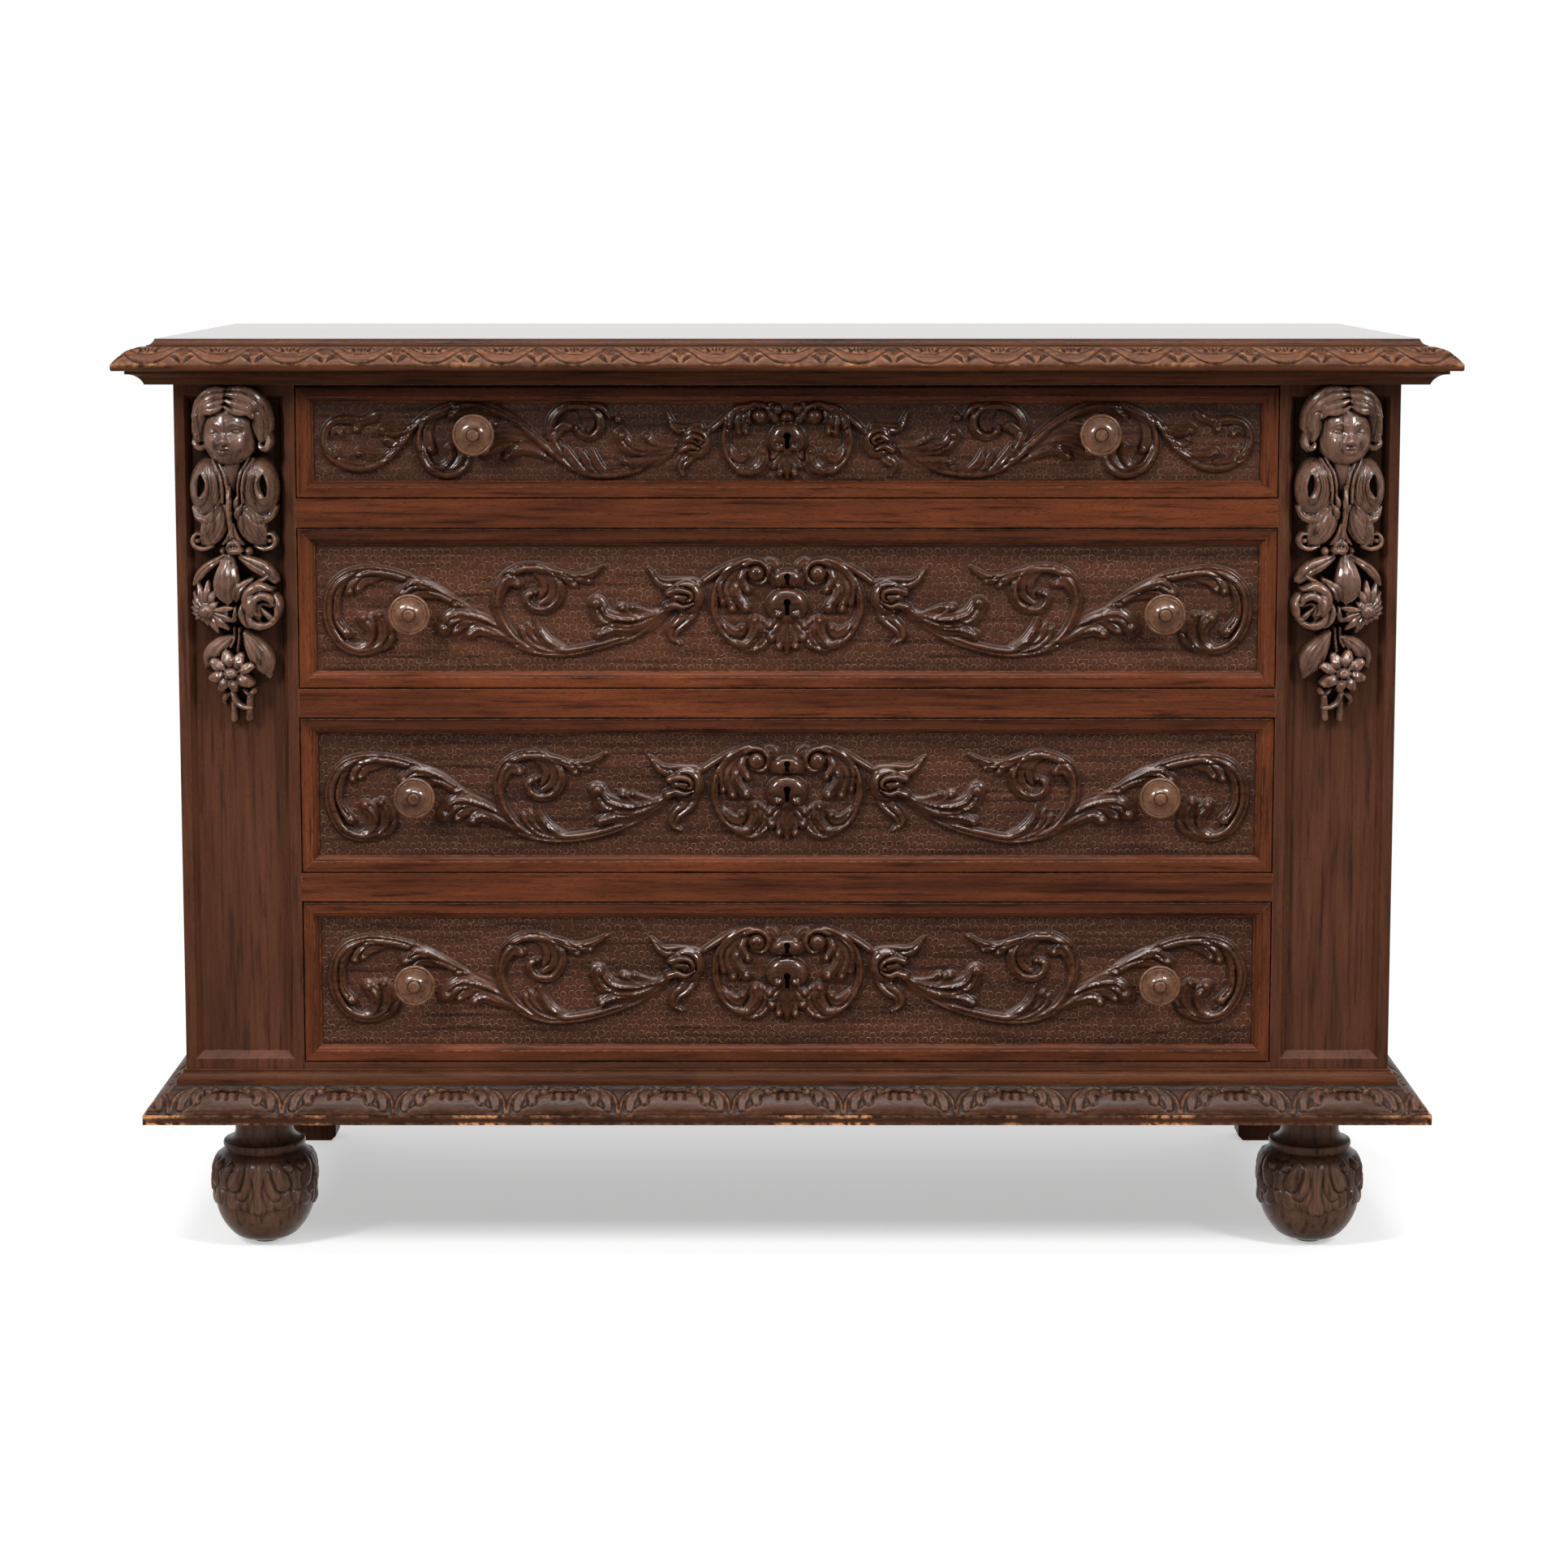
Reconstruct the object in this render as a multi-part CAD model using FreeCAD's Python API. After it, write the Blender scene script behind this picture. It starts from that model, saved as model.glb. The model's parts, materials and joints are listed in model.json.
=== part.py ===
import FreeCAD, Part

import math
import os

# Carved walnut chest of four drawers, in millimetres.
# X runs across the front, Y from the front to the back, and Z is up.
# The origin is on the floor, under the middle of the top.

Vec = FreeCAD.Vector

# Body and top
body_width = 1358.0
body_depth = 534.0
top_thickness = 34.0
top_overhang = 58.0
top_back_overhang = 8.0
top_flat_set_back = 41.5
top_fillet_step = 7.0
top_fillet_hollow = 1.4
top_bead_step = 1.0
top_ovolo_bulge = 5.2
top_nose_height = 7.0
top_nose_round = 1.8

# Heights, from the floor up
foot_height = 166.0
base_height = 37.0
bottom_thickness = 24.0
drawer_1_opening = 126.0
drawer_2_opening = 181.0
drawer_3_opening = 177.0
drawer_4_opening = 185.0
rail_height = 32.0
top_rail_height = 18.0

# Cornice under the top
cornice_height = 16.0
cornice_top_reach = 45.0
cornice_bottom_reach = 27.0
cornice_fillet = 4.0
cornice_lip = 2.0
cornice_hollow = 3.0

# Ogee and carved splay at the base
plinth_height = 17.0
plinth_reach = 10.0
plinth_neck_reach = 3.0
plinth_neck_height = 3.4
plinth_foot_height = 4.2
plinth_bulge = 1.6
base_reach = 43.0
base_fillet = 11.0
base_lip = 2.2
base_bulge = 2.6
base_tuck = 10.0

# Posts, rails, sides and back
post_width = 133.5
front_post_depth = 45.0
rear_post_depth = 40.0
post_border = 11.5
post_recess_depth = 9.0
post_bevel = 7.5
rail_depth = 60.0
tenon_length = 25.0
tenon_thickness = 14.0
tenon_shoulder = 4.0
side_rail_thickness = 22.0
side_top_rail_height = 80.0
side_bottom_rail_height = 90.0
side_panel_thickness = 12.0
side_panel_set_back = 6.0
panel_tongue = 6.0
back_thickness = 12.0

# Runners
runner_width = 60.0
runner_thickness = 22.0
runner_bearing = 20.0
guide_height = 18.0
guide_thickness = 14.0
guide_clearance = 0.8

# Drawer stops, glued behind the bottom edge of each drawer front
stop_distance = 300.0
stop_length = 40.0
stop_width = 24.0
stop_height = 7.0
stop_clearance = 0.3

# Drawers
drawer_gap = 1.2
runner_clearance = 0.3
front_board_thickness = 16.0
frame_width = 18.5
frame_depth = 8.0
frame_flat = 12.0
frame_lip = 2.0
frame_edge_round = 1.2
drawer_side_thickness = 12.0
drawer_back_thickness = 12.0
drawer_bottom_thickness = 9.0
drawer_bottom_rise = 10.0
drawer_side_drop = 8.0
drawer_back_drop = 10.0
drawer_end_clearance = 20.0
groove_depth = 5.0
tail_length = 10.0
tail_flare = 3.0
tail_share = 0.62
drawer_1_tails = 2
drawer_2_tails = 3
drawer_3_tails = 3
drawer_4_tails = 3

# Knobs: distance from the middle and rise above the middle of each drawer
knob_1_distance = 346.0
knob_1_rise = 9.0
knob_2_distance = 419.0
knob_2_rise = -5.0
knob_3_distance = 416.0
knob_3_rise = 0.0
knob_4_distance = 418.0
knob_4_rise = 0.0
knob_reach = 36.0
knob_base_radius = 12.0
knob_base_height = 3.5
knob_neck_radius = 8.0
knob_throat_radius = 11.0
knob_throat_level = 16.0
knob_radius = 23.0
knob_rim_level = 25.5
knob_rim_thickness = 4.0
knob_rim_round = 1.0
knob_face_radius = 20.5
knob_face_bulge = 1.6
knob_button_radius = 6.5
knob_button_height = 3.0
knob_button_round = 1.8
knob_button_groove = 1.5
knob_tenon_radius = 5.0
knob_tenon_length = 14.0
knob_fit = 0.1

# Locks
keyhole_rise = 6.0
keyhole_radius = 4.5
keyhole_slot = 5.2
keyhole_drop = 22.0
lock_width = 56.0
lock_thickness = 12.0
lock_below_key = 28.0
lock_top_margin = 4.0
lock_wall = 2.5
bolt_width = 20.0
bolt_thickness = 5.0
bolt_clearance = 0.3
bolt_above_key = 16.0
bolt_throw = 11.0
bolt_top_margin = 0.8
strike_margin = 2.5

# Feet and glides
foot_inset = 75.0
foot_block_width = 130.0
foot_dowel_radius = 12.5
foot_dowel_length = 28.0
dowel_end_room = 5.0
dowel_fit = 0.1
foot_neck_radius = 33.0
foot_flare_height = 12.0
foot_flare_hollow = 3.0
foot_collar_radius = 46.5
foot_collar_height = 6.5
foot_groove_depth = 2.5
foot_groove_height = 3.5
foot_shoulder_radius = 50.0
foot_shoulder_height = 21.0
foot_shoulder_bulge = 2.5
foot_belly_radius = 57.0
foot_belly_height = 25.0
foot_ball_height = 46.0
foot_ball_bulge = 5.0
foot_turn_radius = 40.0
foot_turn_height = 9.0
foot_sole_radius = 21.0
glide_radius = 14.0
glide_height = 5.0
rear_foot_width = 100.0
rear_foot_depth = 40.0
rear_foot_chamfer = 6.0

# Applied figure on each front post
figure_drop_below_cornice = 3.0
head_radius = 33.0
head_straight = 18.0
head_out = 14.0
hair_radius = 17.0
hair_straight = 34.0
hair_spread = 24.0
hair_drop = 8.0
hair_out = 8.0
bust_radius = 27.0
bust_straight = 58.0
bust_out = 9.0
shoulder_radius = 24.0
shoulder_straight = 44.0
shoulder_spread = 24.0
shoulder_out = 4.0
flower_radius = 25.0
flower_straight = 46.0
flower_out = 3.0
blossom_radius = 24.0
blossom_straight = 26.0
blossom_spread = 25.0
blossom_out = 5.0
pendant_radius = 31.0
pendant_straight = 14.0
pendant_out = 2.0
tail_radius = 15.0
tail_straight = 22.0
tail_out = 3.0
figure_overlap = 10.0

# Places that follow from the sizes above
half_body = body_width / 2
half_opening = half_body - post_width
half_top = half_body + top_overhang
body_front = -(top_overhang + body_depth + top_back_overhang) / 2 + top_overhang
body_back = body_front + body_depth
top_back = body_back + top_back_overhang
base_bottom = foot_height
base_top = base_bottom + base_height
floor_top = base_top + bottom_thickness
field_front = body_front + frame_depth
board_back = field_front + front_board_thickness
back_panel_front = body_back - back_thickness
rear_post_front = back_panel_front - rear_post_depth
front_post_back = body_front + front_post_depth
rail_back = body_front + rail_depth
figure_floor = body_front + post_recess_depth
post_middle = half_body - post_width / 2


# What differs from drawer to drawer, from the bottom drawer up
drawer_opening_heights = {
    4: drawer_4_opening,
    3: drawer_3_opening,
    2: drawer_2_opening,
    1: drawer_1_opening,
}
knob_distances = {1: knob_1_distance, 2: knob_2_distance, 3: knob_3_distance, 4: knob_4_distance}
knob_rises = {1: knob_1_rise, 2: knob_2_rise, 3: knob_3_rise, 4: knob_4_rise}
tail_counts = {1: drawer_1_tails, 2: drawer_2_tails, 3: drawer_3_tails, 4: drawer_4_tails}


def opening_levels():
    levels = {}
    level = floor_top
    for number, height in drawer_opening_heights.items():
        levels[number] = (level, level + height)
        level += height + rail_height
    return levels


openings = opening_levels()
top_rail_bottom = openings[1][1]
body_top = top_rail_bottom + top_rail_height
overall_height = body_top + top_thickness
cornice_bottom = body_top - cornice_height


# Shape helpers


def box(x_low, x_high, y_low, y_high, z_low, z_high):
    corner = Vec(x_low, y_low, z_low)
    return Part.makeBox(x_high - x_low, y_high - y_low, z_high - z_low, corner)


def mirrored(shape):
    return shape.mirror(Vec(0, 0, 0), Vec(1, 0, 0))


def face_of(start, steps, place):
    # A step is a point for a straight edge, or (middle, end) for an arc.
    edges = []
    here = start
    for step in steps:
        if isinstance(step[0], tuple):
            middle, end = step
            edges.append(Part.Arc(place(*here), place(*middle), place(*end)).toShape())
        else:
            end = step
            edges.append(Part.LineSegment(place(*here), place(*end)).toShape())
        here = end
    edges.append(Part.LineSegment(place(*here), place(*start)).toShape())
    return Part.Face(Part.Wire(edges))


def plate(points, place, travel):
    return face_of(points[0], points[1:], place).extrude(travel)


def swell(start, end, bulge):
    # The middle of an arc between two points, standing off the chord by bulge.
    run = (end[0] - start[0], end[1] - start[1])
    length = math.hypot(*run)
    middle = ((start[0] + end[0]) / 2, (start[1] + end[1]) / 2)
    return (middle[0] - run[1] / length * bulge, middle[1] + run[0] / length * bulge)


def group(shapes):
    return Part.makeCompound(shapes)


# Mouldings that go round the front and the two sides, mitred at the corners


def moulding_runs(start, steps, inner, outer, back):
    z_span = (0.0, overall_height)

    def front_place(reach, level):
        return Vec(-half_body - outer, body_front - reach, level)

    def left_place(reach, level):
        return Vec(-half_body - reach, body_front - outer, level)

    front = face_of(start, steps, front_place).extrude(Vec(body_width + 2 * outer, 0, 0))
    left = face_of(start, steps, left_place).extrude(Vec(0, back - body_front + outer, 0))

    def plan(points):
        rise = Vec(0, 0, z_span[1] - z_span[0])
        return plate(points, lambda x, y: Vec(x, y, z_span[0]), rise)

    front_plan = plan([
        (-half_body - outer, body_front - outer),
        (half_body + outer, body_front - outer),
        (half_body + inner, body_front - inner),
        (-half_body - inner, body_front - inner),
    ])
    left_plan = plan([
        (-half_body - outer, body_front - outer),
        (-half_body - inner, body_front - inner),
        (-half_body - inner, back),
        (-half_body - outer, back),
    ])
    left = left.common(left_plan).Solids[0]
    return [front.common(front_plan).Solids[0], left, mirrored(left)]


def top_board():
    flat_reach = top_overhang - top_flat_set_back
    step_level = overall_height - top_fillet_step
    nose_top = body_top + top_nose_height
    fillet_start = (flat_reach, overall_height)
    fillet_end = (flat_reach + top_fillet_step, step_level)
    ovolo_start = (fillet_end[0] + top_bead_step, step_level - top_bead_step)
    ovolo_end = (top_overhang, nose_top)
    steps = [
        fillet_start,
        (swell(fillet_start, fillet_end, -top_fillet_hollow), fillet_end),
        (ovolo_start[0], step_level),
        ovolo_start,
        (swell(ovolo_start, ovolo_end, top_ovolo_bulge), ovolo_end),
        (top_overhang, body_top + top_nose_round),
        (top_overhang - top_nose_round, body_top),
        (0.0, body_top),
    ]
    runs = moulding_runs((0.0, overall_height), steps, 0.0, top_overhang, top_back)
    core = box(-half_body, half_body, body_front, top_back, body_top, overall_height)
    return core.fuse(runs).removeSplitter()


def cornice_moulding():
    fillet_bottom = body_top - cornice_fillet
    cavetto_start = (cornice_top_reach - cornice_lip, fillet_bottom)
    cavetto_end = (cornice_bottom_reach, cornice_bottom)
    steps = [
        (cornice_top_reach, body_top),
        (cornice_top_reach, fillet_bottom),
        cavetto_start,
        (swell(cavetto_start, cavetto_end, -cornice_hollow), cavetto_end),
        (0.0, cornice_bottom),
    ]
    return group(moulding_runs((0.0, body_top), steps, 0.0, cornice_top_reach, body_back))


def plinth_moulding():
    top = base_top + plinth_height
    ogee_start = (plinth_neck_reach, top - plinth_neck_height)
    ogee_end = (plinth_reach, base_top + plinth_foot_height)
    steps = [
        (plinth_neck_reach, top),
        ogee_start,
        (swell(ogee_start, ogee_end, plinth_bulge), ogee_end),
        (plinth_reach, base_top),
        (0.0, base_top),
    ]
    return group(moulding_runs((0.0, top), steps, 0.0, plinth_reach, body_back))


def base_moulding():
    fillet_top = base_bottom + base_fillet
    splay_start = (plinth_reach, base_top)
    splay_end = (base_reach - base_lip, fillet_top)
    steps = [
        splay_start,
        (swell(splay_start, splay_end, base_bulge), splay_end),
        (base_reach, fillet_top),
        (base_reach, base_bottom),
        (-base_tuck, base_bottom),
    ]
    return group(moulding_runs((-base_tuck, base_top), steps, -base_tuck, base_reach, body_back))


# Carcase


def rail_tenons(low, high):
    # Tenons on the two ends of a rail, also used to cut their mortises.
    middle = (body_front + min(rail_back, front_post_back)) / 2
    near, far = middle - tenon_thickness / 2, middle + tenon_thickness / 2
    z_low, z_high = low + tenon_shoulder, high - tenon_shoulder
    left = box(-half_opening - tenon_length, -half_opening, near, far, z_low, z_high)
    return [left, mirrored(left)]


def rail_spans():
    spans = {"top_rail": (top_rail_bottom, body_top)}
    names = {2: "upper_rail", 3: "middle_rail", 4: "lower_rail"}
    for number, name in names.items():
        opening_top = openings[number][1]
        spans[name] = (opening_top, opening_top + rail_height)
    return spans


def strike_slot(opening_top):
    half_slot = bolt_width / 2 + strike_margin
    bolt_middle = board_back + lock_thickness / 2
    half_depth = bolt_thickness / 2 + strike_margin
    top = opening_top + bolt_throw + strike_margin
    near, far = bolt_middle - half_depth, bolt_middle + half_depth
    return box(-half_slot, half_slot, near, far, opening_top, top)


def rails():
    shapes = {}
    for name, (low, high) in rail_spans().items():
        bar = box(-half_opening, half_opening, body_front, rail_back, low, high)
        bar = bar.fuse(rail_tenons(low, high)).removeSplitter()
        shapes[name] = bar.cut(strike_slot(low))
    return shapes


def side_panel_box():
    outside = half_body - side_panel_set_back
    near, far = front_post_back - panel_tongue, rear_post_front + panel_tongue
    low = base_top + side_bottom_rail_height - panel_tongue
    high = body_top - side_top_rail_height + panel_tongue
    return box(-outside, -outside + side_panel_thickness, near, far, low, high)


def recess_cutter():
    low = base_top + plinth_height + post_border
    high = cornice_bottom - post_border
    left, right = -half_body + post_border, -half_opening - post_border

    def rectangle(y, margin):
        corners = [
            Vec(left + margin, y, low + margin),
            Vec(right - margin, y, low + margin),
            Vec(right - margin, y, high - margin),
            Vec(left + margin, y, high - margin),
        ]
        return Part.makePolygon(corners + corners[:1])

    return Part.makeLoft([rectangle(body_front, 0.0), rectangle(figure_floor, post_bevel)], True, True)


def left_front_post():
    post = box(-half_body, -half_opening, body_front, front_post_back, base_top, body_top)
    cutters = [recess_cutter(), side_panel_box()]
    for low, high in rail_spans().values():
        cutters.append(rail_tenons(low, high)[0])
    return post.cut(cutters)


def rear_posts():
    post = box(-half_body, -half_opening, rear_post_front, back_panel_front, base_top, body_top)
    post = post.cut(side_panel_box())
    return group([post.Solids[0], mirrored(post).Solids[0]])


def side_rails():
    inside = -half_body + side_rail_thickness
    bars = []
    spans = [
        (body_top - side_top_rail_height, body_top),
        (base_top, base_top + side_bottom_rail_height),
    ]
    for low, high in spans:
        bar = box(-half_body, inside, front_post_back, rear_post_front, low, high)
        bar = bar.cut(side_panel_box()).Solids[0]
        bars += [bar, mirrored(bar)]
    return group(bars)


def back_panel():
    return box(-half_body, half_body, back_panel_front, body_back, base_top, body_top)


def bottom_board():
    between_posts = box(-half_opening, half_opening, body_front, back_panel_front, base_top, floor_top)
    inside = half_body - side_rail_thickness
    between_sides = box(-inside, inside, front_post_back, rear_post_front, base_top, floor_top)
    return between_posts.fuse(between_sides).removeSplitter()


def drawer_runners():
    inner = -half_opening + runner_bearing
    outer = inner - runner_width
    guide_inner = -half_opening + drawer_gap - guide_clearance
    guide_outer = guide_inner - guide_thickness
    travel = Vec(0, rear_post_front - rail_back, 0)
    bars = []
    for number, (low, _) in openings.items():
        if number == max(openings):
            points = [(guide_outer, low), (guide_inner, low)]
        else:
            under = low - runner_thickness
            points = [(guide_outer, low), (outer, low), (outer, under), (inner, under), (inner, low)]
            points.append((guide_inner, low))
        points += [(guide_inner, low + guide_height), (guide_outer, low + guide_height)]
        bar = plate(points, lambda x, z: Vec(x, rail_back, z), travel)
        bars += [bar, mirrored(bar)]
    return group(bars)


def drawer_stops():
    near = board_back + stop_clearance
    stops = []
    for low, _ in openings.values():
        inner, outer = -stop_distance, -stop_distance - stop_length
        stop = box(outer, inner, near, near + stop_width, low, low + stop_height)
        stops += [stop, mirrored(stop)]
    return group(stops)


def side_panels():
    panel = side_panel_box()
    return group([panel, mirrored(panel)])


# Feet


def foot_centre(front):
    depth = body_front + foot_inset if front else body_back - rear_foot_depth / 2
    return -half_body + foot_inset, depth


def foot_blocks():
    outer = -half_body + base_tuck
    blocks = []
    for front in (True, False):
        near = body_front + base_tuck if front else body_back - foot_block_width
        block = box(outer, outer + foot_block_width, near, near + foot_block_width, base_bottom, base_top)
        if front:
            x, y = foot_centre(True)
            hole = Part.makeCylinder(
                foot_dowel_radius + dowel_fit, foot_dowel_length, Vec(x, y, base_bottom)
            )
            block = block.cut(hole)
        blocks += [block.Solids[0], mirrored(block).Solids[0]]
    return group(blocks)


def left_front_foot():
    x, y = foot_centre(True)
    turned = (foot_turn_radius, glide_height + foot_turn_height)
    belly_end = (foot_belly_radius, turned[1] + foot_ball_height)
    belly_start = (foot_belly_radius, belly_end[1] + foot_belly_height)
    shoulder = (foot_shoulder_radius, belly_start[1] + foot_shoulder_height)
    groove = (foot_collar_radius - foot_groove_depth, shoulder[1] + foot_groove_height)
    collar = (foot_collar_radius, groove[1] + foot_groove_height)
    collar_top = (foot_collar_radius, collar[1] + foot_collar_height)
    neck = (foot_neck_radius, collar_top[1] + foot_flare_height)
    dowel_top = foot_height + foot_dowel_length - dowel_end_room
    steps = [
        (foot_dowel_radius, dowel_top),
        (foot_dowel_radius, foot_height),
        (foot_neck_radius, foot_height),
        neck,
        (swell(neck, collar_top, -foot_flare_hollow), collar_top),
        collar,
        groove,
        shoulder,
        (swell(shoulder, belly_start, foot_shoulder_bulge), belly_start),
        belly_end,
        (swell(belly_end, turned, foot_ball_bulge), turned),
        (foot_sole_radius, glide_height),
        (0.0, glide_height),
    ]

    def place(radius, level):
        return Vec(x + radius, y, level)

    return face_of((0.0, dowel_top), steps, place).revolve(Vec(x, y, 0), Vec(0, 0, 1), 360)


def foot_glides():
    x, y = foot_centre(True)
    glide = Part.makeCylinder(glide_radius, glide_height, Vec(x, y, 0))
    return group([glide, mirrored(glide)])


def rear_feet():
    outer = -half_body
    inner = outer + rear_foot_width
    chamfer = rear_foot_chamfer
    points = [
        (outer, foot_height),
        (inner, foot_height),
        (inner, chamfer),
        (inner - chamfer, 0.0),
        (outer + chamfer, 0.0),
        (outer, chamfer),
    ]
    near = body_back - rear_foot_depth
    foot = plate(points, lambda x, z: Vec(x, near, z), Vec(0, rear_foot_depth, 0))
    return group([foot, mirrored(foot)])


# Applied figures


def rounded_form(x, out, middle, radius, straight):
    # A round bar with domed ends, standing up, its axis in front of the recess floor by out.
    dome = radius * math.sqrt(0.5)
    half = straight / 2
    steps = [
        ((dome, -half - dome), (radius, -half)),
        (radius, half),
        ((dome, half + dome), (0.0, half + radius)),
    ]
    foot = Vec(x, figure_floor - out, middle)

    def place(reach, level):
        return foot + Vec(reach, 0, level)

    return face_of((0.0, -half - radius), steps, place).revolve(foot, Vec(0, 0, 1), 360)


def left_carving(post):
    middle = -post_middle
    head_height = 2 * head_radius + head_straight
    bust_height = 2 * bust_radius + bust_straight
    flower_height = 2 * flower_radius + flower_straight
    pendant_height = 2 * pendant_radius + pendant_straight
    tail_height = 2 * tail_radius + tail_straight
    head_middle = cornice_bottom - figure_drop_below_cornice - head_height / 2
    bust_middle = head_middle - (head_height + bust_height) / 2 + figure_overlap
    flower_middle = bust_middle - (bust_height + flower_height) / 2 + figure_overlap
    pendant_middle = flower_middle - (flower_height + pendant_height) / 2 + figure_overlap
    tail_middle = pendant_middle - (pendant_height + tail_height) / 2 + figure_overlap
    forms = [
        rounded_form(middle, head_out, head_middle, head_radius, head_straight),
        rounded_form(middle, bust_out, bust_middle, bust_radius, bust_straight),
        rounded_form(middle, flower_out, flower_middle, flower_radius, flower_straight),
        rounded_form(middle, pendant_out, pendant_middle, pendant_radius, pendant_straight),
        rounded_form(middle, tail_out, tail_middle, tail_radius, tail_straight),
    ]
    for side in (-1, 1):
        x = middle + side * hair_spread
        forms.append(rounded_form(x, hair_out, head_middle - hair_drop, hair_radius, hair_straight))
        x = middle + side * shoulder_spread
        forms.append(rounded_form(x, shoulder_out, bust_middle, shoulder_radius, shoulder_straight))
        x = middle + side * blossom_spread
        forms.append(rounded_form(x, blossom_out, flower_middle, blossom_radius, blossom_straight))
    whole = forms[0].fuse(forms[1:])
    front_space = box(-half_body, -half_opening, body_front - half_body, figure_floor, 0, overall_height)
    return whole.common(front_space).cut(post).removeSplitter()


# Drawers


def drawer_box(number):
    low, high = openings[number]
    return {
        "half": half_opening - drawer_gap,
        "low": low + drawer_gap,
        "high": high - drawer_gap,
        "side_low": low + runner_clearance,
        "side_high": high - drawer_gap - drawer_side_drop,
        "end": back_panel_front - drawer_end_clearance,
        "key": (low + high) / 2 + keyhole_rise,
        "knob": (low + high) / 2 + knob_rises[number],
        "tails": tail_counts[number],
    }


def tails(size):
    # Half-blind dovetails at the front end of the left drawer side.
    pitch = (size["side_high"] - size["low"]) / size["tails"]
    half_tail = pitch * tail_share / 2
    shapes = []
    for index in range(size["tails"]):
        middle = size["low"] + pitch * (index + 0.5)
        points = [
            (board_back, middle - half_tail + tail_flare),
            (board_back - tail_length, middle - half_tail),
            (board_back - tail_length, middle + half_tail),
            (board_back, middle + half_tail - tail_flare),
        ]
        shapes.append(plate(points, lambda y, z: Vec(-size["half"], y, z), Vec(drawer_side_thickness, 0, 0)))
    return shapes


def drawer_bottom(size):
    inner = size["half"] - drawer_side_thickness
    low = size["side_low"] + drawer_bottom_rise
    high = low + drawer_bottom_thickness
    tongue = inner + groove_depth
    panel = box(-tongue, tongue, board_back, size["end"], low, high)
    lip = box(-inner, inner, board_back - groove_depth, board_back, low, high)
    return panel.fuse(lip).removeSplitter()


def drawer_side(size):
    inner = -size["half"] + drawer_side_thickness
    board = box(-size["half"], inner, board_back, size["end"], size["side_low"], size["side_high"])
    return board.fuse(tails(size)).removeSplitter().cut(drawer_bottom(size))


def drawer_back(size):
    inner = size["half"] - drawer_side_thickness
    low = size["side_low"] + drawer_bottom_rise + drawer_bottom_thickness
    high = size["side_high"] - drawer_back_drop
    return box(-inner, inner, size["end"] - drawer_back_thickness, size["end"], low, high)


def keyhole(level, near, far):
    depth = far - near
    eye = Part.makeCylinder(keyhole_radius, depth, Vec(0, near, level), Vec(0, 1, 0))
    half_slot = keyhole_slot / 2
    slot = box(-half_slot, half_slot, near, far, level - keyhole_drop, level)
    return eye.fuse(slot).removeSplitter()


def knob_places(number, size):
    distance = knob_distances[number]
    return [(-distance, size["knob"]), (distance, size["knob"])]


def drawer_front(number, size):
    board = box(-size["half"], size["half"], field_front, board_back, size["low"], size["high"])
    cutters = [drawer_bottom(size), keyhole(size["key"], field_front, board_back)]
    for tail in tails(size):
        cutters += [tail, mirrored(tail)]
    for x, z in knob_places(number, size):
        radius = knob_tenon_radius + knob_fit
        cutters.append(Part.makeCylinder(radius, knob_tenon_length, Vec(x, field_front, z), Vec(0, 1, 0)))
    return board.cut(cutters)


def drawer_frame(size):
    # Four mitred mouldings round the carved field.
    half, low, high = size["half"], size["low"], size["high"]
    step = frame_depth - frame_lip / 2
    ovolo_start = (frame_flat, step)
    ovolo_end = (frame_width - frame_lip / 2, frame_lip)
    steps = [
        (0.0, frame_depth - frame_edge_round),
        (frame_edge_round, frame_depth),
        (frame_flat, frame_depth),
        ovolo_start,
        (swell(ovolo_start, ovolo_end, frame_lip / 2), ovolo_end),
        (frame_width, frame_lip),
        (frame_width, 0.0),
    ]
    long_travel = Vec(2 * half, 0, 0)
    tall_travel = Vec(0, 0, high - low)
    sweeps = {
        "top": (lambda w, d: Vec(-half, field_front - d, high - w), long_travel),
        "bottom": (lambda w, d: Vec(-half, field_front - d, low + w), long_travel),
        "left": (lambda w, d: Vec(-half + w, field_front - d, low), tall_travel),
        "right": (lambda w, d: Vec(half - w, field_front - d, low), tall_travel),
    }
    outside = [(-half, low), (half, low), (half, high), (-half, high)]
    inside_half = half - frame_width
    inside = [
        (-inside_half, low + frame_width),
        (inside_half, low + frame_width),
        (inside_half, high - frame_width),
        (-inside_half, high - frame_width),
    ]
    sides = {"bottom": (0, 1), "right": (1, 2), "top": (2, 3), "left": (3, 0)}
    strips = []
    for side, (first, second) in sides.items():
        place, travel = sweeps[side]
        strip = face_of((0.0, 0.0), steps, place).extrude(travel)
        points = [outside[first], outside[second], inside[second], inside[first]]
        mitre = plate(points, lambda x, z: Vec(x, body_front, z), Vec(0, frame_depth, 0))
        strips.append(strip.common(mitre).Solids[0])
    return group(strips)


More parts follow.
